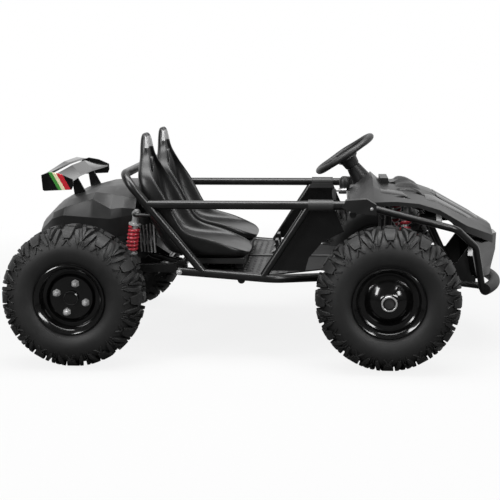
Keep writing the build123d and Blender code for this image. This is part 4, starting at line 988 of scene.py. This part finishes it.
def white_backdrop(tree, lit, share, behind):
    """White by share to the camera, and to mirrors and glass on the backdrop's side; lit elsewhere."""
    path = tree.nodes.new("ShaderNodeLightPath").outputs
    flow = Flow(tree)
    glossy = Flow(tree, path["Is Glossy Ray"]) + Flow(tree, path["Is Transmission Ray"])
    mirrored = flow.node("Math", {0: glossy * behind, 1: 1.0}, operation="MINIMUM")
    seen = flow.node("Math", {0: Flow(tree, path["Is Camera Ray"]), 1: mirrored}, operation="MAXIMUM")
    glow = flow.node("Emission", {"Color": (1, 1, 1, 1), "Strength": 1.0})
    return flow.node("MixShader", {0: seen * share, 1: lit, 2: glow})


floor_mesh = shape("studio_floor", [(-30, -30, 0), (30, -30, 0), (30, 30, 0), (-30, 30, 0)], [(0, 1, 2, 3)])
floor_white = bpy.data.materials.new("floor_white")
floor_white.use_nodes = True
tree = floor_white.node_tree
tree.nodes.clear()
flow = Flow(tree)
away = flow.node("VectorMath", {0: spot(flow)}, out="Value", operation="LENGTH")
fade = smooth_step(flow, away, FADE_NEAR, FADE_FAR, FLOOR_SHARE)
camera_ray = Flow(tree, tree.nodes.new("ShaderNodeLightPath").outputs["Is Camera Ray"])
lit = flow.node("BsdfDiffuse", {"Color": tint(flow, camera_ray, grey(0.10), grey(0.45))})
floor_out = tree.nodes.new("ShaderNodeOutputMaterial")
behind = smooth_step(flow, axis_of(flow, "Y"), -0.2, 1.4)
tree.links.new(white_backdrop(tree, lit, fade, behind).socket, floor_out.inputs["Surface"])
floor_mesh.materials.append(floor_white)
studio_floor = bpy.data.objects.new("studio_floor", floor_mesh)
bpy.context.collection.objects.link(studio_floor)

world = bpy.data.worlds.new("studio_world")
bpy.context.scene.world = world
world.use_nodes = True
world.node_tree.nodes.clear()
sky = Flow(world.node_tree)
dim = sky.node("Background", {"Color": (1, 1, 1, 1), "Strength": 0.12})
facing = sky.node("SeparateXYZ", {0: sky.node("TexCoord", {}, out="Generated")}, out="Y")
behind = smooth_step(sky, facing, 0.1, 0.6)
world_out = world.node_tree.nodes.new("ShaderNodeOutputWorld")
backdrop = white_backdrop(world.node_tree, dim, 1.0, behind)
world.node_tree.links.new(backdrop.socket, world_out.inputs["Surface"])

# place, where it points, width, height, watts
SOFTBOXES = (
    ((0.0, -0.5, 3.0), (0.0, 0.0, 0.3), 3.4, 1.5, 150.0),
    ((-2.4, -2.8, 2.2), (-0.2, 0.0, 0.3), 0.7, 1.9, 85.0),
    ((2.6, -2.8, 2.2), (0.2, 0.0, 0.3), 0.7, 1.9, 75.0),
)
for index, (place, target, wide, tall, watts) in enumerate(SOFTBOXES):
    lamp = bpy.data.lights.new(f"softbox_{index}", "AREA")
    lamp.shape = "RECTANGLE"
    lamp.size = wide
    lamp.size_y = tall
    lamp.energy = watts
    holder = bpy.data.objects.new(f"softbox_{index}", lamp)
    holder.location = place
    holder.rotation_euler = (Vector(target) - Vector(place)).to_track_quat("-Z", "Y").to_euler()
    holder.visible_camera = False
    bpy.context.collection.objects.link(holder)

# Camera: the photograph's view, from the right side and a little above.
# Its place and focal length were fitted to the wheels, rails and seats.
CAMERA_PLACE = (0.1968, -3.2284, 0.8314)
CAMERA_TURN, CAMERA_DIP, CAMERA_ROLL = 4.39, 9.85, -0.29
FOCAL_PIXELS = 1040.0
PICTURE_WIDTH = 500.0
SENSOR = 36.0
lens = bpy.data.cameras.new("photo_camera")
lens.sensor_width = SENSOR
lens.lens = FOCAL_PIXELS * SENSOR / PICTURE_WIDTH
camera = bpy.data.objects.new("photo_camera", lens)
camera.matrix_world = (
    Matrix.Translation(CAMERA_PLACE)
    @ Matrix.Rotation(radians(CAMERA_TURN), 4, "Z")
    @ Matrix.Rotation(radians(90 - CAMERA_DIP), 4, "X")
    @ Matrix.Rotation(radians(CAMERA_ROLL), 4, "Z")
)
bpy.context.collection.objects.link(camera)
bpy.context.scene.camera = camera
bpy.context.scene.view_settings.view_transform = "Standard"
